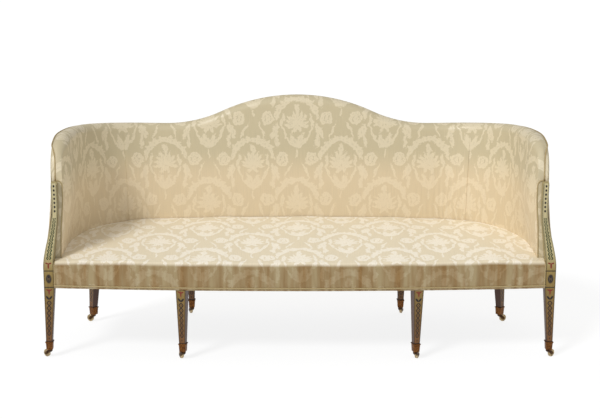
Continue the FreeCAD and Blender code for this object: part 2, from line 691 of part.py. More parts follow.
# Upholstery of the seat
def seat_webbing():
    strips = []
    count = int(2 * (CORNER_X + CORNER_RADIUS / 2) / SEAT_WEB_SPACING)
    for x in spread(-(count - 1) / 2 * SEAT_WEB_SPACING, (count - 1) / 2 * SEAT_WEB_SPACING, count):
        if abs(abs(x) - INNER_LEG_X) < (BLOCK_WIDTH + WEB_WIDTH) / 2:
            x += math.copysign(BLOCK_WIDTH, x) / 2
        edge = abs(x) + WEB_WIDTH / 2
        y0 = bow_y(0, RAIL_FRONT_RADIUS - FRONT_RAIL_THICKNESS / 2) + BOW_RISE * (edge / BLOCK_X) ** 2
        y1 = WALL_BACK_Y - FRAME_INNER / 2
        if edge > CORNER_X:
            y1 = CORNER_Y + math.sqrt((CORNER_RADIUS - FRAME_INNER / 2) ** 2 - (edge - CORNER_X) ** 2)
        half = WEB_WIDTH / 2
        strips.append(box(x - half, x + half, y0, y1, SEAT_WEB_Z, SEAT_WEB_Z + WEB_THICKNESS))
    z = SEAT_CROSS_WEB_Z
    for y in spread(CORNER_Y / 2, WALL_BACK_Y - CORNER_Y, SEAT_CROSS_WEB_COUNT):
        beyond = max(0.0, y + WEB_WIDTH / 2 - CORNER_Y)
        x = CORNER_X + math.sqrt((CORNER_RADIUS - FRAME_INNER / 2) ** 2 - beyond ** 2)
        strips.append(box(-x, x, y - WEB_WIDTH / 2, y + WEB_WIDTH / 2, z, z + WEB_THICKNESS))
    return [strip.cut(post_cutters()) for strip in strips]


def post_cutters():
    posts = [post_clearance("back_inner", INNER_LEG_X), post_clearance("back", POST_AT)]
    return posts + [mirrored(p) for p in posts]


def seat_hessian():
    plan = seat_plan(FRAME_INNER / 2, BOW_RADIUS, seat_half_front(), BLOCK_WIDTH / 2 + FACE_GAP)
    sheet = raised(plan, SEAT_HESSIAN_Z, SEAT_HESSIAN_Z + HESSIAN_THICKNESS)
    return sheet.cut(post_cutters())


def seat_half_front():
    return BLOCK_X - BLOCK_WIDTH / 2 - FACE_GAP


def seat_step_y():
    return ARM_FRONT_Y - FACING_THICKNESS - 2 * FACE_GAP


def seat_stuffing():
    return seat_body(
        WALL_THICKNESS + SEAT_ROOM + STUFFING_INSET,
        RAIL_FRONT_RADIUS,
        seat_half_front() - STUFFING_INSET,
        seat_step_y() - STUFFING_INSET,
        SEAT_STUFFING_Z,
        STUFFING_INSET,
    )


def seat_cover():
    """Skin over the seat padding that comes down over the face of the front rail."""
    depth = WALL_THICKNESS + SEAT_ROOM
    half = seat_half_front()
    step = seat_step_y()
    outer = seat_body(depth, FRONT_COVER_RADIUS, half, step, COVER_BOTTOM_Z, 0.0)
    inner = seat_body(
        depth + COVER_THICKNESS, FRONT_COVER_RADIUS - COVER_THICKNESS, half - COVER_THICKNESS,
        step - COVER_THICKNESS, 0.0, COVER_THICKNESS,
    )
    skin = outer.cut(inner)
    front = bow_y(half, RAIL_FRONT_RADIUS)
    below = box(-SOFA_WIDTH, SOFA_WIDTH, front, WALL_BACK_Y, 0.0, SEAT_STUFFING_Z)
    ends = []
    for sign in (1, -1):
        x = sorted((sign * half, sign * (half - COVER_THICKNESS)))
        ends.append(box(x[0] - FACE_GAP, x[1] + FACE_GAP, -SOFA_WIDTH, WALL_BACK_Y, 0.0, SEAT_STUFFING_Z))
    return skin.cut([below] + ends)


def bow_ring(radius, z, cord_radius, half):
    """Cord along the bow at the height z, with CORD_SIDES sides."""
    angle = math.degrees(math.asin(half / radius))
    turns = [2 * math.pi * i / CORD_SIDES for i in range(CORD_SIDES + 1)]
    y = BOW_CENTRE_Y - radius
    section = [Vector(0, y + cord_radius * math.cos(t), z + cord_radius * math.sin(t)) for t in turns[:-1]]
    disc = Part.Face(Part.makePolygon(section + [section[0]]))
    disc.rotate(Vector(0, BOW_CENTRE_Y, 0), UP, -angle)
    return disc.revolve(Vector(0, BOW_CENTRE_Y, 0), UP, 2 * angle)


def seat_welt():
    radius = FRONT_COVER_RADIUS + WELT_RADIUS + FACE_GAP
    return bow_ring(radius, COVER_BOTTOM_Z + WELT_HEIGHT, WELT_RADIUS, seat_half_front())


def bottom_lining():
    half = seat_half_front()
    plan = seat_plan(FRAME_INNER / 2, BOW_RADIUS, half, BLOCK_WIDTH / 2 + FACE_GAP)
    z = RAIL_BOTTOM_Z - LINING_THICKNESS
    sheet = raised(plan, z, RAIL_BOTTOM_Z)
    cuts = []
    for top, foot in foot_centres().values():
        width = BLOCK_WIDTH / 2 + FACE_GAP
        hole = box(top[0] - width, top[0] + width, top[1] - width, top[1] + width, 0, RAIL_TOP_Z)
        if top == foot_centres()["back"][0]:
            hole = turned(hole, *top, POST_ANGLE - 90.0)
        if top == foot_centres()["front_inner"][0]:
            hole = turned(hole, *top, INNER_LEG_TURN)
        cuts += [hole, mirrored(hole)]
    return sheet.cut(cuts)


# Upholstery of the wall
def wall_webbing():
    """Upright webs: bands of one thin sheet that follows the wall."""
    sheet = wall_loft(-WALL_LENGTH, WALL_LENGTH, web_outline)
    count = int((WALL_LENGTH - WEB_WIDTH) / WALL_WEB_SPACING)
    bands = []
    for i in range(-count, count + 1):
        x, y, angle = wall_point(i * WALL_WEB_SPACING)
        band = box(-WEB_WIDTH / 2, WEB_WIDTH / 2, -WALL_THICKNESS, WALL_THICKNESS, 0, HUMP_TOP_Z)
        turn = angle - 90.0 if i >= 0 else 90.0 - angle
        band.rotate(Vector(0, 0, 0), UP, turn)
        band.translate(Vector(x, y, 0))
        bands.append(band)
    return sheet.common(bands).Solids


def arm_facing():
    """Cloth panel that closes the front end of the arm's padding, behind the stump."""
    d = WALL_LENGTH
    section = wall_wire(d, roll_points(d, 0.0, WALL_BOTTOM_Z, -FACE_GAP) + [(-FACE_GAP, WALL_BOTTOM_Z)])
    plate = Part.Face(section).extrude(Vector(0, -FACING_THICKNESS, 0))
    plate.translate(Vector(0, -FACE_GAP, 0))
    return plate.cut(arm_tenon(TENON_GAP))


# Castor, with its swivel axis on the origin and its wheel trailing along +X
def castor_cup(x, y):
    """Tapered square cup with a projecting collar and a bored floor for the swivel pin."""
    reach = CUP_GAP + CUP_WALL
    cup = foot_end(x, y, reach, CUP_BOTTOM_Z, CUP_TOP_Z)
    wide = FOOT_WIDTH - 2 * CUP_SHOULDER + 2 * (reach + COLLAR_REACH)
    half = wide / 2
    collar = box(x - half, x + half, y - half, y + half, CUP_TOP_Z - COLLAR_HEIGHT, CUP_TOP_Z)
    level = [e for e in collar.Edges if abs(e.Vertexes[0].Z - e.Vertexes[1].Z) < RUNNING_GAP]
    collar = collar.makeChamfer(COLLAR_BEVEL, level)
    hollow = foot_end(x, y, CUP_GAP, CUP_BOTTOM_Z + CUP_FLOOR, CUP_TOP_Z + CUP_TAPER)
    bore = Part.makeCylinder(SWIVEL_PIN_RADIUS + RUNNING_GAP, CUP_TOP_Z, Vector(x, y, 0))
    return cup.fuse(collar).cut([hollow, bore]).removeSplitter()


def castor_fork():
    """Swivel pin with a riveted head, a boss, and a horn of two cheeks that holds the axle."""
    boss_top = CUP_BOTTOM_Z - SWIVEL_GAP
    head = CUP_BOTTOM_Z + CUP_FLOOR + SWIVEL_GAP
    boss = upright_prism(SWIVEL_BOSS_RADIUS, BOSS_SIDES, HORN_Z, boss_top)
    rivet = upright_prism(SWIVEL_HEAD_RADIUS, HEAD_SIDES, head, head + SWIVEL_HEAD)
    pin = Part.makeCylinder(SWIVEL_PIN_RADIUS, head - boss_top, Vector(0, 0, boss_top))
    inner = HUB_WIDTH / 2 + CHEEK_GAP
    outer = inner + CHEEK_THICKNESS
    horn = flat_solid([cheek_outline(-outer), cheek_outline(outer)])
    well = flat_solid([wheel_ring(WHEEL_RADIUS + WHEEL_ROOM, y) for y in (-inner, inner)])
    bore = axle_cylinder(AXLE_RADIUS, 2 * outer)
    return boss.fuse([pin, rivet, horn.cut(well)]).cut(bore).removeSplitter()


def upright_prism(radius, sides, z0, z1):
    across, along = Vector(1, 0, 0), Vector(0, 1, 0)
    return flat_solid([polygon_ring(radius, sides, UP * z, across, along) for z in (z0, z1)])


def wheel_ring(radius, y):
    """Ring of the wheel's facets at the distance y from the wheel's middle plane."""
    return polygon_ring(radius, WHEEL_SIDES, Vector(CASTOR_TRAIL, y, WHEEL_RADIUS), Vector(1, 0, 0), UP)


def axle_cylinder(radius, reach):
    """Cylinder on the wheel's axis that reaches equally to both sides."""
    return Part.makeCylinder(radius, 2 * reach, Vector(CASTOR_TRAIL, -reach, WHEEL_RADIUS), Vector(0, 1, 0))


def cheek_outline(y):
    """Side of the horn: half a turn round the axle and half a turn round the swivel, in facets."""
    heading = math.atan2(WHEEL_RADIUS - HORN_Z, CASTOR_TRAIL)
    ring = []
    ends = ((CASTOR_TRAIL, WHEEL_RADIUS, EYE_RADIUS, heading), (0.0, HORN_Z, HORN_RADIUS, heading + math.pi))
    for x, z, radius, middle in ends:
        for turn in spread(middle - math.pi / 2, middle + math.pi / 2, CHEEK_STEPS + 1):
            ring.append(Vector(x + radius * math.cos(turn), y, z + radius * math.sin(turn)))
    return ring


def castor_axle():
    """Pin riveted flush with the outsides of the cheeks."""
    return axle_cylinder(AXLE_RADIUS, HUB_WIDTH / 2 + CHEEK_GAP + CHEEK_THICKNESS)


def castor_wheel():
    """Brass wheel: flat rim with bevelled edges, dished sides and a hub bored for the axle."""
    hub, half = HUB_WIDTH / 2, WHEEL_WIDTH / 2
    side = [
        (hub, HUB_RADIUS),
        (WHEEL_WEB_WIDTH / 2, HUB_RADIUS + WHEEL_CROWN),
        (half, WHEEL_RADIUS - WHEEL_RIM),
        (half, WHEEL_RADIUS - WHEEL_CROWN),
        (half - WHEEL_CROWN, WHEEL_RADIUS),
    ]
    stages = [(-y, radius) for y, radius in side] + side[::-1]
    wheel = flat_solid([wheel_ring(radius, y) for y, radius in stages])
    return wheel.cut(axle_cylinder(AXLE_RADIUS + RUNNING_GAP, HUB_WIDTH)).removeSplitter()


def castor_places():
    """Foot centre and trailing direction of each castor, mirrored about the middle."""
    places = {}
    for kind, (top, foot) in foot_centres().items():
        angle = CASTOR_TRAILS[kind]
        places[kind + "_right"] = (foot[0], foot[1], angle)
        places[kind + "_left"] = (-foot[0], foot[1], 180.0 - angle)
    return places


def export(name, shape):
    moved = shape.copy()
    moved.translate(Vector(0, LEG_PLANE_Y, 0))
    moved.exportStep(os.path.join("parts", name + ".step"))


def export_pair(name, shape):
    """The right piece and its mirror image on the left, each in its own node."""
    export(name + "_right", shape)
    export(name + "_left", mirrored(shape))


def build_frame():
    export_pair("front_leg", front_leg())
    export_pair("front_inner_leg", inner_front_leg())
    export_pair("back_inner_leg", back_leg("back_inner", INNER_LEG_X))
    export_pair("back_corner_leg", back_leg("back", POST_AT))
    export("front_seat_rail", front_seat_rail())
    sides, backs = seat_rails()
    export("side_seat_rails", sides)
    export("back_seat_rails", backs)
    export("seat_braces", Part.makeCompound(stretchers() + corner_blocks()))
    export("crest_rail", wall_loft(-POST_AT, POST_AT, crest_rail_outline))
    export_pair("arm_rail", arm_rail())


def build_upholstery():
    export("webbing", Part.makeCompound(seat_webbing() + wall_webbing()))
    export("seat_hessian", seat_hessian())
    export("seat_stuffing", seat_stuffing())
    export("seat_cover", seat_cover())
    export("seat_welt", seat_welt())
    export("bottom_lining", bottom_lining())
    export("back_hessian", wall_loft(-SEAM_AT, SEAM_AT, hessian_outline))
    export_pair("arm_hessian", wall_loft(SEAM_AT + FACE_GAP, WALL_LENGTH, hessian_outline))
    export("back_stuffing", wall_loft(-SEAM_AT, SEAM_AT, stuffing_outline))
    export_pair("arm_stuffing", wall_loft(SEAM_AT + FACE_GAP, WALL_LENGTH, stuffing_outline))
    export("inside_back_cover", wall_loft(-SEAM_AT, SEAM_AT, cover_outline))
    export_pair("inside_arm_cover", wall_loft(SEAM_AT + FACE_GAP, WALL_LENGTH, cover_outline))
    export("outside_back_cover", wall_loft(-POST_AT, POST_AT, outside_outline))
    export_pair("outside_arm_cover", wall_loft(POST_AT + FACE_GAP, WALL_LENGTH, outside_outline))
    facing = arm_facing()
    export("arm_facings", Part.makeCompound([facing, mirrored(facing)]))
    export("rim_piping", wall_loft(-WALL_LENGTH, WALL_LENGTH, piping_outline))


def build_castors():
    cups = []
    for name, (x, y, angle) in castor_places().items():
        cup = castor_cup(x, y)
        kind = name.rsplit("_", 1)[0]
        side = 1 if x > 0 else -1
        if kind == "back":
            cup = turned(cup, x, y, side * (POST_ANGLE - 90.0))
        if kind == "front_inner":
            cup = turned(cup, x, y, side * INNER_LEG_TURN)
        cups.append(cup)
        for piece, shape in (("fork", castor_fork()), ("axle", castor_axle()), ("wheel", castor_wheel())):
            shape.rotate(Vector(0, 0, 0), UP, angle)
            shape.translate(Vector(x, y, 0))
            export("castor_" + piece + "_" + name, shape)
    export("castor_cups", Part.makeCompound(cups))


os.makedirs("parts", exist_ok=True)
build_frame()
build_upholstery()
build_castors()
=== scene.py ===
import json
import math

import bpy
import numpy as np
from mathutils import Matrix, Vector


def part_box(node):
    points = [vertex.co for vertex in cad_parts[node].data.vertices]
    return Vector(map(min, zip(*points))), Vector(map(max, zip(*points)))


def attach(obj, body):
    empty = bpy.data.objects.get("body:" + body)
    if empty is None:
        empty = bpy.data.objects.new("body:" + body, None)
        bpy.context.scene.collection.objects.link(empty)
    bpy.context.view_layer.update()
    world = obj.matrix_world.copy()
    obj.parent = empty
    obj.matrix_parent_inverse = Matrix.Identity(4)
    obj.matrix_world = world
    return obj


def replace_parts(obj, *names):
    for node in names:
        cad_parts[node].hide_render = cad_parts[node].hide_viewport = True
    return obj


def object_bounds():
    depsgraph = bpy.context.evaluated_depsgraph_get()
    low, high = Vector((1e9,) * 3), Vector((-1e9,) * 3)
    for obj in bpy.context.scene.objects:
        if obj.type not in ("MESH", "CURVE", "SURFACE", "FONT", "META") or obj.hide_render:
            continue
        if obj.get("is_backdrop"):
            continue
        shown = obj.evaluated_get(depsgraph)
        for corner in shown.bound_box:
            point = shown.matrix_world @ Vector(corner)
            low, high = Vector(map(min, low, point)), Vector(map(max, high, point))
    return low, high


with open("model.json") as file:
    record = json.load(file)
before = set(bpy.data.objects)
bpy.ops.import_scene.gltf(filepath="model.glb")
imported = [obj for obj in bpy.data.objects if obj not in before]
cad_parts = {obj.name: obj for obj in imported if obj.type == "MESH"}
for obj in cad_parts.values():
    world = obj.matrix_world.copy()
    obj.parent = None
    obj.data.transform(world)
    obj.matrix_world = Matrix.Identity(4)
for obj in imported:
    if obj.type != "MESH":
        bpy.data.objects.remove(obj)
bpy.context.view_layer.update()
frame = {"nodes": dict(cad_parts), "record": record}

# Camera. The sofa was seen from a little above and straight in front, through a long lens that
# stood left of its middle, so the picture is shifted and not turned.
CAMERA_AT = (-0.13, -5.459, 1.798)
CAMERA_PITCH = 12.7
PICTURE = (600, 419)
FOCAL_PIXELS = 1280.0
MIDDLE_PIXEL_X = 268.4
SENSOR_WIDTH = 36.0

camera_data = bpy.data.cameras.new("view")
camera_data.sensor_width = SENSOR_WIDTH
camera_data.lens = SENSOR_WIDTH * FOCAL_PIXELS / PICTURE[0]
camera_data.shift_x = (PICTURE[0] / 2 - MIDDLE_PIXEL_X) / PICTURE[0]
camera = bpy.data.objects.new("view", camera_data)
camera.location = CAMERA_AT
camera.rotation_euler = (math.radians(90.0 - CAMERA_PITCH), 0.0, 0.0)
bpy.context.scene.collection.objects.link(camera)
bpy.context.scene.camera = camera


# Padded back, from seam to seam. Curled hair is stitched over webbing and hessian, rolled over
# the crest rail, and covered in silk damask that is tacked along the outer top edge.
MM = 0.001
LEG_PLANE_Y = -308.0714 * MM
WALL_SIDE = 1060.0 * MM
WALL_BACK = 612.0 * MM
CORNER_RADIUS = 440.0 * MM
CORNER_X = WALL_SIDE - CORNER_RADIUS
CORNER_Y = WALL_BACK - CORNER_RADIUS
CORNER_ARC = CORNER_RADIUS * math.pi / 2
ARM_FRONT = 35.3 * MM
WALL_LENGTH = CORNER_X + CORNER_ARC + CORNER_Y - ARM_FRONT
SEAM_AT = CORNER_X + CORNER_ARC / 4
POST_AT = CORNER_X + CORNER_ARC / 2
WALL_FOOT = 385.0 * MM
WALL_THICK = 62.0 * MM
FACE_GAP = 0.3 * MM
ARM_FULLNESS = 3.8
STATION_STEP = 8.0 * MM


def smooth_step(x):
    """0 below 0, 1 above 1 and 3x2 - 2x3 between."""
    x = np.clip(x, 0.0, 1.0)
    return x * x * (3 - 2 * x)


def wall_plan(d):
    """Outer face of the wall in plan at the distance d from its middle, and the outward normal:
    a straight back, a quarter circle and a straight side. The turn is 0 at the back, 90 at the side."""
    run = np.abs(d)
    turn = np.clip((run - CORNER_X) / CORNER_RADIUS, 0.0, math.pi / 2)
    x = np.minimum(run, CORNER_X) + CORNER_RADIUS * np.sin(turn)
    y = CORNER_Y + CORNER_RADIUS * np.cos(turn) - np.maximum(run - CORNER_X - CORNER_ARC, 0.0)
    side = np.where(d < 0.0, -1.0, 1.0)
    return side * x, y, side * np.sin(turn), np.cos(turn)


def wall_crest(d):
    """Top line: two tangent circular arcs make the hump, a smooth step lifts the corner a little,
    and a quarter of a superellipse in y, of power ARM_FULLNESS, sweeps each arm down to its front."""
    hump_top, valley, hump_half, crown_share = 1.027, 0.898, 0.5921, 0.58
    corner_top, rise_length = 0.928, 0.560
    arm_end, sweep_length = 0.752, 0.360
    run = np.abs(d)
    slope = 2 * math.atan2(hump_top - valley, hump_half)
    radii = hump_half / math.sin(slope)
    crown = radii * crown_share
    foot = radii - crown
    over = hump_top - crown + np.sqrt(np.maximum(crown ** 2 - run ** 2, 0.0))
    under = valley + foot - np.sqrt(np.maximum(foot ** 2 - (hump_half - run) ** 2, 0.0))
    level = valley + (corner_top - valley) * smooth_step((run - hump_half) / rise_length)
    back = np.clip((ARM_FRONT + sweep_length - wall_plan(d)[1]) / sweep_length, 0.0, 1.0)
    arm = arm_end + (level - arm_end) * (1 - back ** ARM_FULLNESS) ** (1 / ARM_FULLNESS)
    top = np.where(run < crown * math.sin(slope), over, np.where(run < hump_half, under, level))
    return np.where(back > 0.0, arm, top)


LEAN_HEIGHT = 525.0 * MM
BACK_LEAN = 60.0 * MM
SIDE_LEAN = -26.0 * MM
STUMP_LEAN = -33.0 * MM
STUMP_LEAN_HEIGHT = 300.0 * MM
BLEND_START = POST_AT + 35.0 * MM
BLEND_LENGTH = 280.0 * MM


def wall_at(d, depth, z):
    """Points of the wall: plan point plus normal times (lean - depth). The lean grows in step with
    the height above the foot, outwards at the back and a little inwards at the sides. Past the
    corner posts it blends into a smooth step in the height, which follows the stumps."""
    x, y, nx, ny = wall_plan(d)
    lean = (SIDE_LEAN + (BACK_LEAN - SIDE_LEAN) * ny ** 2) * np.maximum(z - WALL_FOOT, 0.0) / LEAN_HEIGHT
    arm_lean = STUMP_LEAN * smooth_step((z - WALL_FOOT) / STUMP_LEAN_HEIGHT) * (1 - ny ** 2)
    lean = lean + smooth_step((np.abs(d) - BLEND_START) / BLEND_LENGTH) * (arm_lean - lean)
    return np.stack([x + nx * (lean - depth), y + ny * (lean - depth) + LEG_PLANE_Y, z], axis=-1)


def path_steps(start, end, step):
    """Even distances from start to end, no further apart than step, and a few that crowd at both ends."""
    even = np.linspace(start, end, int(math.ceil((end - start) / step)) + 1)
    near = np.array([0.2, 0.6, 1.2, 2.0, 3.5, 5.5]) * MM
    return np.sort(np.concatenate([even, start + near, end - near]))


def carried_mesh(name, rings, pattern):
    """Closed profile carried along a path. rings[i, j] is point j of section i; four neighbours
    make a face, and a flat face closes each end. pattern[i, j] is the point's place on the cloth.
    The rings are reversed where the volume they enclose comes out negative."""
    count, size = rings.shape[:2]
    i, j = np.meshgrid(np.arange(count - 1), np.arange(size), indexing="ij")
    near, far = (j + 1) % size, i + 1
    faces = np.stack([i * size + j, i * size + near, far * size + near, far * size + j], axis=-1)
    faces = faces.reshape(-1, 4)
    corners = rings.reshape(-1, 3)
    a, b, c, e = (corners[faces[:, k]] for k in range(4))
    centre = corners.mean(axis=0)
    volume = np.einsum("ij,ij->i", np.cross(c - a, e - b), (a + b + c + e) / 4 - centre).sum()
    ends = [list(range(size))[::-1], list(range((count - 1) * size, count * size))]
    if volume < 0:
        faces = faces[:, ::-1]
        ends = [end[::-1] for end in ends]
    mesh = bpy.data.meshes.new(name)
    mesh.from_pydata(corners.tolist(), [], faces.tolist() + ends)
    layer = mesh.uv_layers.new(name="cloth")
    used = np.empty(len(mesh.loops), dtype=np.int32)
    mesh.loops.foreach_get("vertex_index", used)
    layer.data.foreach_set("uv", pattern.reshape(-1, 2)[used].astype(np.float32).ravel())
    mesh.polygons.foreach_set("use_smooth", [True] * len(faces) + [False] * len(ends))
    mesh.update()
    piece = bpy.data.objects.new(name, mesh)
    bpy.context.scene.collection.objects.link(piece)
    return piece


def along(points):
    """Distance walked along each row of points, starting at nothing."""
    steps = np.linalg.norm(np.diff(points, axis=-2), axis=-1)
    return np.concatenate([np.zeros(steps.shape[:-1] + (1,)), np.cumsum(steps, axis=-1)], axis=-1)


ARM_TAPER_LENGTH = 110.0 * MM
TUCK_LENGTH = 66.0 * MM
ARM_THINNER = 18.0 * MM
RIM_TUCK = 20.0 * MM


def arm_taper(d):
    """How much thinner the padding is, and how far its outer edge is tucked in: smooth steps over the
    last stretch of each arm."""
    to_end = WALL_LENGTH - np.abs(d)
    thin = ARM_THINNER * smooth_step(1 - to_end / ARM_TAPER_LENGTH)
    return thin, RIM_TUCK * smooth_step(1 - to_end / TUCK_LENGTH)


ROLL = 34.0 * MM
ROLL_SHARE = 0.6
THINNING_SHARE = 0.7
EDGE_DROP = 9.0 * MM
HEM_DROP = 5.0 * MM
SHOULDER_DROP = 1.0 * MM
SHOULDER_SHARE = 0.5
PAD_BACK = 28.4 * MM
GROOVE_TOP, GROOVE_FADE = 1.02, 8.0
PLEAT_HEIGHT = 0.42
FACE_ROWS, ROLL_ROWS, EDGE_ROWS, SHOULDER_ROWS = 44, 13, 8, 5
HIDDEN_ROWS = SHOULDER_ROWS - 1 + 3


def pad_rings(d, belly, grooves, pleats):
    """Padding of the wall as rings of (depth, height): up the swelling face, a quarter circle over
    the roll, down to the outer edge, and back along the hessian. The face swells by a sine of the
    height; it is drawn in by a bell curve at each groove, and has fine upright tension ripples
    that die away upwards at the pleats. Towards the front of an arm it grows thinner upwards, and
    its outer edge is tucked in over the stump, with a shoulder of outside cloth below it."""
    crest = wall_crest(d)[:, None]
    thin, tuck = (row[:, None] for row in arm_taper(d))
    roll = ROLL - ROLL_SHARE * thin
    up = np.linspace(0.0, 1.0, FACE_ROWS)[None, :]
    face_z = WALL_FOOT + (crest - roll - WALL_FOOT) * up
    swell = belly * np.sin(math.pi * up ** 0.8) ** 0.9
    face_u = WALL_THICK - thin * smooth_step(up / THINNING_SHARE) + swell
    turn = np.linspace(0.0, math.pi / 2, ROLL_ROWS)[None, 1:]
    middle = WALL_THICK - thin - roll
    roll_u = middle + roll * np.cos(turn)
    roll_z = crest - roll + roll * np.sin(turn)
    fall = np.linspace(0.0, 1.0, EDGE_ROWS)[None, 1:]
    edge_u = middle + (tuck - FACE_GAP - middle) * fall
    edge_z = crest - EDGE_DROP * fall ** 1.6
    shoulder = np.linspace(0.0, 1.0, SHOULDER_ROWS)[None, 1:]
    shoulder_u = (tuck - FACE_GAP) * (1 - shoulder) - FACE_GAP * shoulder
    shoulder_z = crest - EDGE_DROP - (SHOULDER_DROP + SHOULDER_SHARE * tuck) * shoulder ** 1.5
    low = crest - EDGE_DROP - HEM_DROP - SHOULDER_SHARE * tuck
    hidden_u = np.array([[1.0 * MM, PAD_BACK, PAD_BACK]]) + 0 * crest
    hidden_z = np.concatenate([low, low, 0 * crest + WALL_FOOT], axis=1)
    u = np.concatenate([face_u + 0 * crest, roll_u, edge_u, shoulder_u, hidden_u], axis=1)
    z = np.concatenate([face_z, roll_z, edge_z, shoulder_z, hidden_z], axis=1)
    shown = np.ones(u.shape[1])
    shown[-HIDDEN_ROWS:] = 0.0
    height = (z - WALL_FOOT) / (crest - WALL_FOOT)
    run = d[:, None]
    for place, depth, reach in grooves:
        draw = depth * np.exp(-((run - place) / reach) ** 2)
        u = u - draw * shown * smooth_step((GROOVE_TOP - height) * GROOVE_FADE)
    for place, depth, reach, wave in pleats:
        near = np.exp(-((run - place) / reach) ** 2) * np.exp(-(height / PLEAT_HEIGHT) ** 2)
        ripple = np.sin(2 * math.pi * run / wave + 3.0 * np.sin(9.0 * run))
        u = u + depth * near * ripple * shown
    return u, z


def wall_piece(name, start, end, belly, grooves, pleats):
    """Padding between two distances along the wall: its rings are set on the leaning wall, and the
    cloth runs with the distance along the wall and the distance walked up each ring."""
    d = path_steps(start, end, STATION_STEP)
    u, z = pad_rings(d, belly, grooves, pleats)
    rings = wall_at(d[:, None], u, z)
    pattern = np.stack([d[:, None] + 0 * u, along(rings)], axis=-1)
    return carried_mesh(name, rings, pattern)


# Grooves are (place, depth, reach) and pleats are (place, depth, reach, wave length).
BACK_BELLY = 9.0 * MM
GROOVE_DEPTH = 0.4 * MM
GROOVE_REACH = 3.0 * MM
back_pad = wall_piece(
    "back_pad", -SEAM_AT, SEAM_AT, BACK_BELLY,
    [(SEAM_AT, GROOVE_DEPTH, GROOVE_REACH), (-SEAM_AT, GROOVE_DEPTH, GROOVE_REACH)],
    [(0.70, 2.8 * MM, 0.12, 0.030), (-0.71, 1.6 * MM, 0.09, 0.034)],
)
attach(back_pad, "sofa")
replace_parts(back_pad, "back_stuffing", "inside_back_cover")


def hex_colour(code):
    """sRGB hex code to linear red, green, blue and a full alpha."""
    parts = [int(code[i:i + 2], 16) / 255 for i in (0, 2, 4)]
    return [p / 12.92 if p <= 0.04045 else ((p + 0.055) / 1.055) ** 2.4 for p in parts] + [1.0]


def add(tree, kind, links=None, **settings):
    """Adds a node, sets its properties, and links or fills its inputs."""
    node = tree.nodes.new(kind)
    for name, value in settings.items():
        setattr(node, name, value)
    for socket, source in (links or {}).items():
        if isinstance(source, bpy.types.NodeSocket):
            tree.links.new(source, node.inputs[socket])
        else:
            node.inputs[socket].default_value = source
    return node


def new_material(name):
    """Empty node material with a Principled shader wired to its output."""
    made = bpy.data.materials.new(name)
    made.use_nodes = True
    tree = made.node_tree
    tree.nodes.clear()
    shader = add(tree, "ShaderNodeBsdfPrincipled")
    add(tree, "ShaderNodeOutputMaterial", {"Surface": shader.outputs[0]})
    return made, tree, shader


# Silk damask: a satin figure that shines a little on a dull ribbed ground of the same thread. The
# table is one axis of the repeat, which is mirrored across and dropped by half on the next axis.
# Its leaves are drawn fuller than in the table, because the ragged edge eats into them.
DAMASK_WIDTH = 0.400
DAMASK_HEIGHT = 0.370
DAMASK_START = 0.060
DAMASK_LOW = -0.030
LEAF_FULLNESS = (1.22, 1.75)
FIGURE = (
    # across, up, half length, half width in metres, and heading in degrees
    (0.012, 0.008, 0.030, 0.0066, 64.0),
    (0.024, -0.002, 0.022, 0.0046, 48.0),
    (0.000, 0.322, 0.016, 0.0024, 90.0),
    (0.000, 0.118, 0.026, 0.0050, 90.0),
    (0.011, 0.114, 0.026, 0.0046, 68.0),
    (0.021, 0.105, 0.024, 0.0046, 46.0),
    (0.029, 0.093, 0.021, 0.0042, 24.0),
    (0.031, 0.080, 0.018, 0.0040, 4.0),
    (0.010, 0.066, 0.015, 0.0050, 120.0),
    (0.010, 0.203, 0.014, 0.0060, -12.0),
    (0.030, 0.196, 0.016, 0.0066, -22.0),
    (0.050, 0.184, 0.016, 0.0070, -32.0),
    (0.069, 0.168, 0.016, 0.0070, -46.0),
    (0.084, 0.148, 0.016, 0.0066, -60.0),
    (0.094, 0.126, 0.013, 0.0056, -74.0),
    (0.024, 0.210, 0.008, 0.0036, 50.0),
    (0.046, 0.200, 0.008, 0.0036, 38.0),
    (0.067, 0.186, 0.008, 0.0036, 25.0),
    (0.086, 0.166, 0.008, 0.0036, 10.0),
    (0.000, 0.160, 0.016, 0.0070, 90.0),
    (0.088, 0.298, 0.011, 0.0044, 90.0),
    (0.077, 0.317, 0.011, 0.0044, 150.0),
    (0.055, 0.317, 0.011, 0.0044, 30.0),
    (0.044, 0.298, 0.011, 0.0044, 90.0),
    (0.055, 0.279, 0.011, 0.0044, 150.0),
    (0.077, 0.279, 0.011, 0.0044, 30.0),
    (0.066, 0.298, 0.008, 0.0080, 0.0),
    (0.095, 0.014, 0.026, 0.0064, 82.0),
    (0.093, 0.064, 0.022, 0.0060, 98.0),
    (0.092, 0.236, 0.024, 0.0056, 74.0),
    (0.040, 0.245, 0.030, 0.0028, 112.0),
    (0.055, 0.045, 0.034, 0.0028, 68.0),
    (0.066, 0.106, 0.024, 0.0040, 100.0),
)

# Noise sizes in waves per metre. The figure's edges wander over 29 mm and are ragged over 7 mm, and
# faces that are drawn down to tacks have folds 38 mm apart, whose noise darkens upright faces as a
# painted shade. A rib of the silk is 0.3 mm wide, which is too fine to show, and is drawn 1.1 mm wide.
WANDER_SCALE, WANDER = 34.0, 0.034
LACE_SCALE, LACE_DEPTH = 150.0, 1.3
RIB_SCALE = (900.0, 12.0, 1.0)
FOLD_SHADE_SCALE = (26.0, 2.5, 1.0)
# Below this band on the cloth the figure is rubbed faint and the colour turns to the rubbed codes, which on
# the back are a painted glow of light bounced up from the seat.
RUBBED_AND_GLOW_BAND = 0.16
RUBBED_AND_GLOW_KEEPS = 0.42


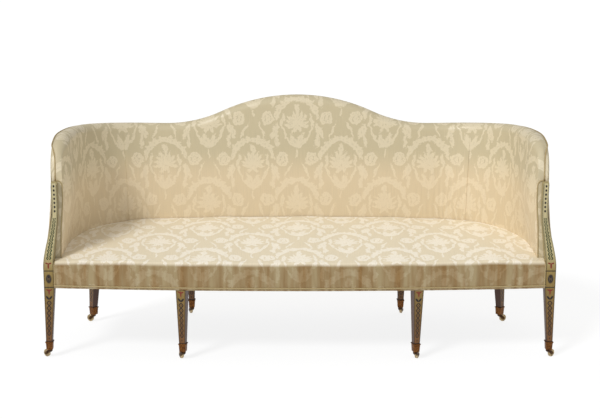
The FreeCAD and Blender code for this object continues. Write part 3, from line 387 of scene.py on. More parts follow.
def damask(name, figure_code, ground_code, rubbed_and_glow_codes, rubbed_and_glow_to, upright_shade_codes):
    """The figure's mask is the least distance to its leaves, each of which has a dull vein. It is
    rubbed faint below a given height on the cloth, where the colour turns to the rubbed codes, which
    can hold a painted glow of bounced light. Upright faces take a painted shade that goes from one
    code to the other with the fold noise, a painted shade of the folds."""
    made, tree, shader = new_material(name)
    cloth = add(tree, "ShaderNodeUVMap", uv_map="cloth").outputs[0]
    wander = add(tree, "ShaderNodeTexNoise", {"Vector": cloth, "Scale": WANDER_SCALE, "Detail": 3.0})
    shift = add(
        tree, "ShaderNodeVectorMath", {0: wander.outputs["Color"], 1: (-0.5, -0.5, -0.5)}, operation="ADD",
    )
    shift = add(tree, "ShaderNodeVectorMath", {0: shift.outputs[0], "Scale": WANDER}, operation="SCALE")
    moved = add(tree, "ShaderNodeVectorMath", {0: cloth, 1: shift.outputs[0]}, operation="ADD")
    place = add(tree, "ShaderNodeSeparateXYZ", {0: moved.outputs[0]})
    mirror = add(tree, "ShaderNodeMath", {0: place.outputs[0], 1: DAMASK_WIDTH / 2}, operation="PINGPONG")
    past = add(tree, "ShaderNodeMath", {0: mirror.outputs[0], 1: DAMASK_WIDTH / 4}, operation="GREATER_THAN")
    across = add(tree, "ShaderNodeMath", {0: mirror.outputs[0], 1: DAMASK_WIDTH / 4}, operation="PINGPONG")
    start = add(tree, "ShaderNodeMath", {0: place.outputs[1], 1: DAMASK_START}, operation="SUBTRACT")
    drop = add(
        tree, "ShaderNodeMath", {0: past.outputs[0], 1: DAMASK_HEIGHT / 2, 2: start.outputs[0]},
        operation="MULTIPLY_ADD",
    )
    up = add(
        tree, "ShaderNodeMath", {0: drop.outputs[0], 1: DAMASK_HEIGHT + DAMASK_LOW, 2: DAMASK_LOW},
        operation="WRAP",
    )
    folded = add(tree, "ShaderNodeCombineXYZ", {0: across.outputs[0], 1: up.outputs[0]})
    nearest = None
    for x, y, length, width, heading in FIGURE:
        leaf = add(
            tree, "ShaderNodeMapping",
            {"Vector": folded.outputs[0], "Location": (x, y, 0.0),
             "Rotation": (0.0, 0.0, math.radians(heading)),
             "Scale": (length * LEAF_FULLNESS[0], width * LEAF_FULLNESS[1], 1.0)}, vector_type="TEXTURE",
        )
        size = add(tree, "ShaderNodeVectorMath", {0: leaf.outputs[0]}, operation="LENGTH").outputs["Value"]
        if nearest is None:
            nearest = size
        else:
            nearest = add(tree, "ShaderNodeMath", {0: nearest, 1: size}, operation="MINIMUM").outputs[0]
    lace = add(tree, "ShaderNodeTexNoise", {"Vector": cloth, "Scale": LACE_SCALE, "Detail": 2.0})
    lace = add(
        tree, "ShaderNodeMath", {0: lace.outputs["Fac"], 1: LACE_DEPTH, 2: -LACE_DEPTH / 2},
        operation="MULTIPLY_ADD",
    )
    nearest = add(tree, "ShaderNodeMath", {0: nearest, 1: lace.outputs[0]}, operation="ADD").outputs[0]
    leaves = add(
        tree, "ShaderNodeMapRange", {"Value": nearest, 1: 1.25, 2: 0.85}, interpolation_type="SMOOTHSTEP",
    )
    vein = add(
        tree, "ShaderNodeMapRange", {"Value": nearest, 1: 0.12, 2: 0.34, 3: 0.55, 4: 1.0},
        interpolation_type="SMOOTHSTEP",
    )
    drawn = add(tree, "ShaderNodeMath", {0: leaves.outputs[0], 1: vein.outputs[0]}, operation="MULTIPLY")
    height = add(tree, "ShaderNodeSeparateXYZ", {0: cloth}).outputs[1]
    kept = add(
        tree, "ShaderNodeMapRange",
        {"Value": height, 1: rubbed_and_glow_to - RUBBED_AND_GLOW_BAND, 2: rubbed_and_glow_to, 3: RUBBED_AND_GLOW_KEEPS, 4: 1.0},
        interpolation_type="SMOOTHSTEP",
    ).outputs[0]
    figure = add(tree, "ShaderNodeMath", {0: drawn.outputs[0], 1: kept}, operation="MULTIPLY").outputs[0]
    # Below the band the colours turn to the rubbed codes, which on the back carry a painted glow of bounced
    # light.
    satin = add(
        tree, "ShaderNodeMix", {0: kept, 6: hex_colour(rubbed_and_glow_codes[0]), 7: hex_colour(figure_code)},
        data_type="RGBA",
    )
    ground = add(
        tree, "ShaderNodeMix", {0: kept, 6: hex_colour(rubbed_and_glow_codes[1]), 7: hex_colour(ground_code)},
        data_type="RGBA",
    )
    tone = add(
        tree, "ShaderNodeMix", {0: figure, 6: ground.outputs[2], 7: satin.outputs[2]}, data_type="RGBA",
    )
    ribs = add(tree, "ShaderNodeMapping", {"Vector": cloth, "Scale": RIB_SCALE})
    ribs = add(tree, "ShaderNodeTexNoise", {"Vector": ribs.outputs[0], "Scale": 1.0, "Detail": 1.0})
    ribs = add(tree, "ShaderNodeMapRange", {"Value": ribs.outputs[0], 1: 0.3, 2: 0.7, 3: 0.95, 4: 1.04})
    fold_shade = add(tree, "ShaderNodeMapping", {"Vector": cloth, "Scale": FOLD_SHADE_SCALE})
    fold_shade = add(tree, "ShaderNodeTexNoise", {"Vector": fold_shade.outputs[0], "Scale": 1.0, "Detail": 3.0})
    fold_shade = add(tree, "ShaderNodeMapRange", {"Value": fold_shade.outputs["Fac"], 1: 0.34, 2: 0.62})
    # Upright faces take a painted shade, which the fold noise makes darker in places as a painted shade of
    # the folds.
    upright_shade = add(
        tree, "ShaderNodeMix",
        {0: fold_shade.outputs[0], 6: hex_colour(upright_shade_codes[0]), 7: hex_colour(upright_shade_codes[1])},
        data_type="RGBA",
    )
    normal = add(tree, "ShaderNodeNewGeometry").outputs["Normal"]
    level = add(tree, "ShaderNodeSeparateXYZ", {0: normal}).outputs[2]
    level = add(
        tree, "ShaderNodeMapRange", {"Value": level, 1: 0.3, 2: 0.97}, interpolation_type="SMOOTHSTEP",
    )
    upright_shade_tint = add(
        tree, "ShaderNodeMix", {0: level.outputs[0], 6: upright_shade.outputs[2], 7: hex_colour("FFFFFF")},
        data_type="RGBA",
    )
    shade = add(
        tree, "ShaderNodeVectorMath", {0: upright_shade_tint.outputs[2], "Scale": ribs.outputs[0]}, operation="SCALE",
    )
    colour = add(
        tree, "ShaderNodeVectorMath", {0: tone.outputs[2], 1: shade.outputs[0]}, operation="MULTIPLY",
    )
    gloss = add(tree, "ShaderNodeMapRange", {"Value": figure, 3: 0.60, 4: 0.38})
    tree.links.new(colour.outputs[0], shader.inputs["Base Color"])
    tree.links.new(gloss.outputs[0], shader.inputs["Roughness"])
    shader.inputs["Sheen Weight"].default_value = 0.12
    shader.inputs["Sheen Roughness"].default_value = 0.4
    bump = add(tree, "ShaderNodeBump", {"Height": drawn.outputs[0], "Strength": 0.3, "Distance": 0.4 * MM})
    tree.links.new(bump.outputs[0], shader.inputs["Normal"])
    return made


# The back and arms are soft gold, rubbed plain where people lean, and there painted paler and warmer as a
# painted glow of light bounced up from the seat.
damask_back = damask("silk_damask", "DACDAF", "C5B897", ("FFEED0", "E7D0AC"), 0.42, ("FFFFFF", "FFFFFF"))
back_pad.data.materials.append(damask_back)


# Padded arms, from the corner seams to the front ends behind the stumps: the same stuffing and silk,
# in a panel of their own, with a shallow pleat where the corner post stands.
ARM_BELLY = 6.0 * MM
SEWN_GAP = 0.05 * MM
for name, side in (("right", 1.0), ("left", -1.0)):
    low, high = sorted((side * (SEAM_AT + SEWN_GAP), side * WALL_LENGTH))
    arm_pad = wall_piece(
        "arm_pad_" + name, low, high, ARM_BELLY,
        [(side * SEAM_AT, GROOVE_DEPTH, GROOVE_REACH), (side * POST_AT, 2.0 * MM, 5.0 * MM)],
        [(side * 0.86, 1.6 * MM, 0.08, 0.028)],
    )
    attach(arm_pad, "sofa")
    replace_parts(arm_pad, "arm_stuffing_" + name, "inside_arm_cover_" + name)
    arm_pad.data.materials.append(damask_back)


# Outside panels of the back and arms: flat silk stretched over the bare frame, tacked under the
# seat rails and slip-stitched below the piping. They meet behind the corner posts.
COVER_THICK = 2.0 * MM
COVER_FOOT = 306.3 * MM
PANEL_LAP = 13.3 * MM
PANEL_ROWS = 24


def outside_panel(name, start, end):
    """Thin closed sheet between two distances along the wall, from the rails' lower edge to just
    below the piping: an outer and an inner line of even heights. Its flat size is its length along
    the foot by its greatest height with a hem, and its area is that of the curved face."""
    d = path_steps(start, end, STATION_STEP)
    tuck = arm_taper(d)[1]
    top = (wall_crest(d) - EDGE_DROP - COVER_THICK - 2 * FACE_GAP - SHOULDER_SHARE * tuck)[:, None]
    z = COVER_FOOT + (top - COVER_FOOT) * np.linspace(0.0, 1.0, PANEL_ROWS)[None, :]
    u = np.concatenate([-FACE_GAP - COVER_THICK + 0 * z, 0 * z - FACE_GAP], axis=1)
    z = np.concatenate([z, z[:, ::-1]], axis=1)
    rings = wall_at(d[:, None], u, z)
    pattern = np.stack([d[:, None] + 0 * u, z - COVER_FOOT], axis=-1)
    panel = carried_mesh(name, rings, pattern)
    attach(panel, "sofa")
    panel.data.materials.append(damask_back)
    return panel


arm_start, arm_end = POST_AT + FACE_GAP, WALL_LENGTH + PANEL_LAP
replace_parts(outside_panel("outside_back_panel", -POST_AT, POST_AT), "outside_back_cover")
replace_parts(outside_panel("outside_arm_panel_right", arm_start, arm_end), "outside_arm_cover_right")
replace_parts(outside_panel("outside_arm_panel_left", -arm_end, -arm_start), "outside_arm_cover_left")


# Arm facings: flat silk panels that close the front ends of the arms, edged with piping where the
# inside cover and the facing are sewn together. The rounded top leaves 97% of the cut rectangle.
FACING_THICK = 2.0 * MM
PIPING_RADIUS = 2.6 * MM


def cord_mesh(name, path, beside, radius):
    """Round cord along a path: circles in the plane square to it, first corner towards beside."""
    steps = np.gradient(path, axis=0)
    steps /= np.linalg.norm(steps, axis=1)[:, None]
    first = beside - steps * (beside * steps).sum(axis=1)[:, None]
    first /= np.linalg.norm(first, axis=1)[:, None]
    second = np.cross(steps, first)
    turn = np.linspace(0.0, 2 * math.pi, 12, endpoint=False)[None, :, None]
    rings = path[:, None] + radius * (np.cos(turn) * first[:, None] + np.sin(turn) * second[:, None])
    length = along(path[None])[0][:, None] + 0 * turn[..., 0]
    return carried_mesh(name, rings, np.stack([length, radius * turn[..., 0] + 0 * path[:, :1]], axis=-1))


# Piping silk: the same cloth cut on the bias, so that its ribs run at 45 degrees. They are drawn
# 1.2 mm apart to show, and the piping is darker and duller than the panels.
self_piping, tree, shader = new_material("silk_piping")
cloth = add(tree, "ShaderNodeUVMap", uv_map="cloth").outputs[0]
bias = add(tree, "ShaderNodeMapping", {"Vector": cloth, "Rotation": (0.0, 0.0, math.radians(45.0))})
ribs = add(tree, "ShaderNodeTexWave", {"Vector": bias.outputs[0], "Scale": 260.0, "Distortion": 0.6})
tone = add(
    tree, "ShaderNodeMix", {0: ribs.outputs["Fac"], 6: hex_colour("9A8459"), 7: hex_colour("B7A478")},
    data_type="RGBA",
)
tree.links.new(tone.outputs[2], shader.inputs["Base Color"])
shader.inputs["Roughness"].default_value = 0.5

for name, side in (("right", 1.0), ("left", -1.0)):
    end = np.array([side * WALL_LENGTH])
    crest = wall_crest(end)[0]
    turn = np.linspace(0.0, math.pi / 2, 14)
    up = np.linspace(0.0, 1.0, 12)[:-1]
    roll = ROLL - ROLL_SHARE * ARM_THINNER
    middle = WALL_THICK - ARM_THINNER - roll
    face_u = WALL_THICK - ARM_THINNER * smooth_step(up / THINNING_SHARE)
    face_z = WALL_FOOT + (crest - roll - WALL_FOOT) * up
    rim_z = crest - EDGE_DROP - np.array([0.0, SHOULDER_SHARE * RIM_TUCK])
    edge_u = np.concatenate([face_u, middle + roll * np.cos(turn), [RIM_TUCK, -FACE_GAP, -FACE_GAP]])
    edge_z = np.concatenate([face_z, crest - roll + roll * np.sin(turn), rim_z, [WALL_FOOT]])
    outline = wall_at(side * WALL_LENGTH + 0 * edge_u, edge_u, edge_z)
    front = np.array([0.0, -1.0, 0.0])
    rings = np.stack([outline + front * FACE_GAP, outline + front * (FACE_GAP + FACING_THICK)])
    panel = carried_mesh("arm_facing_" + name, rings, np.stack([np.stack([edge_u, edge_z], axis=-1)] * 2))
    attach(panel, "sofa")
    panel.data.materials.append(damask_back)
    hem = cord_mesh(
        "facing_piping_" + name, outline[:-2] + front * (FACE_GAP + FACING_THICK), 0 * outline[:-2] + front,
        PIPING_RADIUS,
    )
    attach(hem, "sofa")
    hem.data.materials.append(self_piping)
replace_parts(bpy.data.objects["arm_facing_right"], "arm_facings")


# Arm rails: swept beech rails under the padding, from the corner posts to the stumps, with the same
# top line as the padded arm.
RAIL_DEPTH = (1.0 * MM, 25.0 * MM)
RAIL_TALL = 55.0 * MM
CREST_PADDING = 14.0 * MM
TUCK_FALL = 1.2
for name, side in (("right", 1.0), ("left", -1.0)):
    low, high = sorted((side * (POST_AT + FACE_GAP), side * WALL_LENGTH))
    rail_d = path_steps(low, high, STATION_STEP)[:, None]
    rail_top = wall_crest(rail_d) - CREST_PADDING - TUCK_FALL * arm_taper(rail_d)[1]
    rail_u = np.array([[RAIL_DEPTH[0], RAIL_DEPTH[0], RAIL_DEPTH[1], RAIL_DEPTH[1]]]) + 0 * rail_d
    rail_z = np.concatenate([rail_top - RAIL_TALL, rail_top, rail_top, rail_top - RAIL_TALL], axis=1)
    rail_rings = wall_at(rail_d + 0 * rail_u, rail_u, rail_z)
    rail = carried_mesh("arm_rail_wood_" + name, rail_rings, np.stack([rail_u, rail_z], axis=-1))
    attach(rail, "sofa")
    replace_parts(rail, "arm_rail_" + name)


# Rim piping: a cord in a bias strip of the same silk, sewn along the whole outer top edge where the
# inside and outside covers meet.
rim_d = path_steps(-WALL_LENGTH, WALL_LENGTH, STATION_STEP)
rim_u = arm_taper(rim_d)[1] - 2 * FACE_GAP - PIPING_RADIUS
rim_path = wall_at(rim_d, rim_u, wall_crest(rim_d) - EDGE_DROP)
outwards = np.stack([wall_plan(rim_d)[2], wall_plan(rim_d)[3], 0 * rim_d], axis=-1)
rim = cord_mesh("rim_piping_cord", rim_path, outwards, PIPING_RADIUS)
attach(rim, "sofa")
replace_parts(rim, "rim_piping")
rim.data.materials.append(self_piping)


# Seat pad: hair stitched to a firm edge over the front rail and crowned towards the middle, under
# one piece of damask that is drawn down over the rail and tacked beneath it.
BLOCK_X = 1043.5 * MM
BLOCK_HALF = 21.5 * MM
BOW_RISE = 47.0 * MM
BOW_RADIUS = (BLOCK_X ** 2 + BOW_RISE ** 2) / (2 * BOW_RISE)
COVER_RADIUS = BOW_RADIUS + BLOCK_HALF
SEAT_LAP = 2.5 * MM
SEAT_HALF = BLOCK_X - BLOCK_HALF - FACE_GAP
SEAT_SIDE = WALL_SIDE - WALL_THICK + SEAT_LAP
SEAT_BEND = CORNER_RADIUS - WALL_THICK + SEAT_LAP
SEAT_STEP_Y = ARM_FRONT - 2.6 * MM
SEAT_EDGE = 424.0 * MM
SEAT_CROWN = 482.0 * MM
SEAT_UNDER = 384.9 * MM
SEAT_ROLL = 24.0 * MM
EDGE_WAVE = 1.2 * MM
END_FALL = 4.5 * MM
END_FALL_FROM = 900.0 * MM
CROWN_FALL = 26.0 * MM
CROWN_SHARE = 0.62
FOLD_DEPTH = 0.8 * MM
FOLD_LIFT = 0.4 * MM
FOLD_FADE = 30.0 * MM


def bow(x, radius):
    """Front line of the seat in plan: a circular arc whose middle stands BOW_RISE in front of its ends."""
    return BOW_RADIUS - BOW_RISE - np.sqrt(radius ** 2 - x ** 2)


def seat_edge(x):
    """Height of the front edge: two slow waves from the hand stitching, and a fall towards each end."""
    fall = smooth_step((np.abs(x) - END_FALL_FROM) / (SEAT_HALF - END_FALL_FROM))
    wave = np.sin(2 * math.pi * x / 0.37 + 1.0) + 0.6 * np.sin(2 * math.pi * x / 0.19)
    return SEAT_EDGE + EDGE_WAVE * wave - END_FALL * fall


def seat_rings():
    """Sections across the seat at even turns of a half circle, so that they crowd at the arms, and a
    short strip beyond them in front of each arm. Each is a ring: up the front face, a quarter circle
    over the edge, back over a sine crown, down at the wall and forward underneath. The front face has
    small folds, two sines of uneven pace, that fade upwards and towards the corner welts."""
    x = SEAT_SIDE * np.sin(np.linspace(-1.0, 1.0, 420) * math.pi / 2)
    strip = np.linspace(SEAT_SIDE + 0.2 * MM, SEAT_HALF, 8)
    x = np.concatenate([-strip[::-1], x, strip])
    run = np.abs(x)
    front = bow(x, COVER_RADIUS)[:, None]
    back = CORNER_Y + np.sqrt(np.maximum(SEAT_BEND ** 2 - np.maximum(run - CORNER_X, 0.0) ** 2, 0.0))
    back = np.where(run > SEAT_SIDE, SEAT_STEP_Y, back)[:, None]
    end = (x[:, None] / WALL_SIDE) ** 2
    up = np.linspace(0.0, 1.0, 14)[None, :]
    edge = seat_edge(x)[:, None]
    wave = np.sin(2 * math.pi * x / 0.047 + 1.7 * np.sin(5.0 * x))
    wave = wave + 0.7 * np.sin(2 * math.pi * x / 0.029 + 2.3 * np.sin(9.0 * x))
    fade = smooth_step((SEAT_HALF - run[:, None]) / FOLD_FADE)
    drawn = (wave[:, None] + 1.7) * (1.0 - up) ** 0.8 * fade
    face_z = COVER_FOOT + (edge - SEAT_ROLL - COVER_FOOT) * up + drawn * FOLD_LIFT * (1.0 - up)
    face_y = front - FOLD_DEPTH * drawn
    arc = np.linspace(0.0, math.pi / 2, 12)[None, 1:]
    roll_y = front + SEAT_ROLL * (1 - np.cos(arc))
    roll_z = edge - SEAT_ROLL * (1 - np.sin(arc))
    top_start = front + SEAT_ROLL
    top_y = top_start + (back - top_start) * np.linspace(0.0, 1.0, 60)[None, 1:]
    depth = (top_y - top_start) / (WALL_BACK - top_start)
    top_z = edge + (SEAT_CROWN - SEAT_EDGE - CROWN_FALL * end) * np.sin(math.pi * CROWN_SHARE * depth)
    under_y = np.concatenate([back, front + COVER_THICK, front + COVER_THICK], axis=1)
    under_z = np.array([[SEAT_UNDER, SEAT_UNDER, COVER_FOOT]]) + 0 * front
    y = np.concatenate([face_y, roll_y, top_y, under_y], axis=1)
    z = np.concatenate([face_z, roll_z, top_z, under_z], axis=1)
    return x, np.stack([x[:, None] + 0 * y, y + LEG_PLANE_Y, z], axis=-1)


seat_x, seat_points = seat_rings()
seat_cloth = np.stack([seat_x[:, None] + 0 * seat_points[..., 0], along(seat_points)], axis=-1)
seat_pad = carried_mesh("seat_pad", seat_points, seat_cloth)
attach(seat_pad, "sofa")
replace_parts(seat_pad, "seat_stuffing", "seat_cover")

# The seat's silk is paler and not rubbed, and its upright front takes a painted shade that is darker and
# browner, darkest in the painted shade of the folds.
damask_seat = damask(
    "silk_damask_seat", "FBF3E2", "E9DCC0", ("FBF3E2", "E9DCC0"), -0.2, ("8C6F40", "ABA086"),
)
seat_pad.data.materials.append(damask_seat)


# Seat welts: a cord along the lower edge of the seat's front, and one up each front corner where the
# cover meets the leg block.
WELT_HEIGHT = 12.0 * MM
CORNER_WELT_RADIUS = 2.08 * MM
welt_x = path_steps(-SEAT_HALF, SEAT_HALF, STATION_STEP)
welt_y = bow(welt_x, COVER_RADIUS + PIPING_RADIUS + FACE_GAP) + LEG_PLANE_Y
low_path = np.stack([welt_x, welt_y, 0 * welt_x + COVER_FOOT + WELT_HEIGHT], axis=-1)
welt = cord_mesh("seat_welt_cord", low_path, 0 * low_path + np.array([0.0, -1.0, 0.0]), PIPING_RADIUS)
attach(welt, "sofa")
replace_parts(welt, "seat_welt")
welt.data.materials.append(self_piping)
corner_turn = np.linspace(0.0, math.pi / 2, 10)[1:]
for name, side in (("right", 1.0), ("left", -1.0)):
    corner_x = side * (SEAT_HALF - PIPING_RADIUS)
    corner_y = bow(np.array([corner_x]), COVER_RADIUS)[0] + LEG_PLANE_Y
    corner_top = seat_edge(np.array([corner_x]))[0]
    rise_z = np.linspace(COVER_FOOT + PIPING_RADIUS, corner_top - SEAT_ROLL, 12)
    path_y = np.concatenate([0 * rise_z + corner_y, corner_y + SEAT_ROLL * (1 - np.cos(corner_turn))])
    path_z = np.concatenate([rise_z, corner_top - SEAT_ROLL * (1 - np.sin(corner_turn))])
    path = np.stack([corner_x + 0 * path_y, path_y, path_z], axis=-1)
    sideways = 0 * path + np.array([side, 0.0, 0.0])
    edge = cord_mesh("seat_corner_welt_" + name, path, sideways, CORNER_WELT_RADIUS)
    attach(edge, "sofa")
    edge.data.materials.append(self_piping)


# Hidden frame and base cloths: sawn beech rails, braces and arm rails, jute hessian and linen webs,
# and a black cotton lining tacked under the seat.
def plain_material(name, low_code, high_code, stretch, roughness):
    """Two tones mixed by a noise that is stretched per axis, in waves per metre."""
    made, tree, shader = new_material(name)
    spot = add(tree, "ShaderNodeTexCoord").outputs["Object"]
    drawn_out = add(tree, "ShaderNodeMapping", {"Vector": spot, "Scale": stretch})
    noise = add(tree, "ShaderNodeTexNoise", {"Vector": drawn_out.outputs[0], "Scale": 1.0, "Detail": 4.0})
    tones = add(
        tree, "ShaderNodeMix", {0: noise.outputs[0], 6: hex_colour(low_code), 7: hex_colour(high_code)},
        data_type="RGBA",
    )
    tree.links.new(tones.outputs[2], shader.inputs["Base Color"])
    shader.inputs["Roughness"].default_value = roughness
    return made


# Beech is sawn and bare, with its grain along the rails. Jute, linen, cotton and hair are matt, with
# a grain of 1 to 3 mm, which is about the size of their threads and tufts.
base_materials = {
    "frame_wood": plain_material("sawn_beech", "A67C52", "D0AC7D", (6.0, 60.0, 60.0), 0.6),
    "hessian": plain_material("jute_hessian", "8A6C44", "B5945F", (700.0, 700.0, 700.0), 0.9),
    "webbing": plain_material("linen_webbing", "7C6444", "A78B61", (500.0, 500.0, 500.0), 0.85),
    "lining": plain_material("black_cotton", "1B1A19", "2A2826", (900.0, 900.0, 900.0), 0.9),
    "stuffing": plain_material("curled_hair", "6D5A44", "8C7659", (300.0, 300.0, 300.0), 0.95),
}
for name in ("arm_rail_wood_right", "arm_rail_wood_left"):
    bpy.data.objects[name].data.materials.append(base_materials["frame_wood"])
slots = {part["node"]: part["material_slot"] for part in frame["record"]["subparts"]}
for node, place in slots.items():
    if place in base_materials:
        cad_piece = frame["nodes"][node]
        cad_piece.data.materials.clear()
        cad_piece.data.materials.append(base_materials[place])


# Painted legs and stumps: beech under a gold graining that is browner at the feet and pale at the arms,
# where the paleness is a painted highlight of the glossy stumps, with lined borders and hand-painted
# husks on the fronts. The other sides are dark red-brown, partly real paint and partly a painted shade
# of their unlit faces.
FOOT_Z = 72.0 * MM
BLOCK_Z = 306.0 * MM
FOOT_HALF = 13.25 * MM
LEG_TOP = 0.8
# Tones of the ground up the leg; the pale ones on the stump are a painted highlight.
LEG_TONES_AND_HIGHLIGHT = (
    # height in metres, colour
    (0.06, "6A431F"), (0.20, "785B2D"), (0.30, "836C37"),
    (0.385, "927C46"), (0.45, "B5A87C"), (0.75, "C2B68C"),
)
MOTIF_HALF_WIDTH = 20.0 * MM
LEG_MOTIFS = (
    # from, to, repeat up the leg, then across, up, half length, half width, heading, colour: metres
    # on a face 40 mm wide, measured from the first value
    (0.098, 0.252, 0.022, 0.0050, 0.0055, 0.0090, 0.0025, 50.0, "24130D"),
    (0.098, 0.252, 0.022, 0.0050, 0.0165, 0.0090, 0.0025, 130.0, "24130D"),
    (0.098, 0.252, 0.022, 0.0000, 0.0110, 0.0026, 0.0026, 0.0, "4A2416"),
    (0.080, 0.096, 0.016, 0.0000, 0.0070, 0.0042, 0.0030, 90.0, "2A140D"),
    (0.252, 0.276, 0.024, 0.0064, 0.0120, 0.0100, 0.0042, 52.0, "17100F"),
    (0.276, 0.304, 0.028, 0.0000, 0.0140, 0.0130, 0.0030, 90.0, "742818"),
    (0.276, 0.304, 0.028, 0.0062, 0.0215, 0.0064, 0.0030, 30.0, "742818"),
    (0.320, 0.372, 0.052, 0.0000, 0.0260, 0.0195, 0.0110, 90.0, "231B18"),
    (0.320, 0.372, 0.052, 0.0046, 0.0260, 0.0120, 0.0013, 80.0, "5A4A30"),
    (0.320, 0.372, 0.052, 0.0000, 0.0260, 0.0024, 0.0024, 0.0, "6C5636"),
    (0.388, 0.418, 0.030, 0.0000, 0.0130, 0.0120, 0.0034, 90.0, "742818"),
    (0.388, 0.418, 0.030, 0.0066, 0.0240, 0.0062, 0.0030, 20.0, "742818"),
    (0.426, 0.600, 0.0150, 0.0058, 0.0040, 0.0062, 0.0024, 48.0, "2F3A1D"),
    (0.426, 0.600, 0.0150, 0.0058, 0.0110, 0.0062, 0.0024, 132.0, "2F3A1D"),
    (0.426, 0.600, 0.0150, 0.0000, 0.0075, 0.0028, 0.0024, 90.0, "4A4A26"),
    (0.620, 0.744, 0.0177, 0.0000, 0.0088, 0.0054, 0.0068, 90.0, "1C1714"),
)
LEG_LINES = ((0.3095, 0.0024), (0.3800, 0.0024), (0.0735, 0.0016))
BORDER_IN, BORDER_HALF = 4.0 * MM, 0.6 * MM
RIM_LINE = 1.7 * MM
STUMP_FOOT = 395.0 * MM
STUMP_INWARD, INWARD_SPAN = 31.0 * MM, 250.0 * MM
STUMP_SLIM, SLIM_SPAN = 9.5 * MM, 240.0 * MM


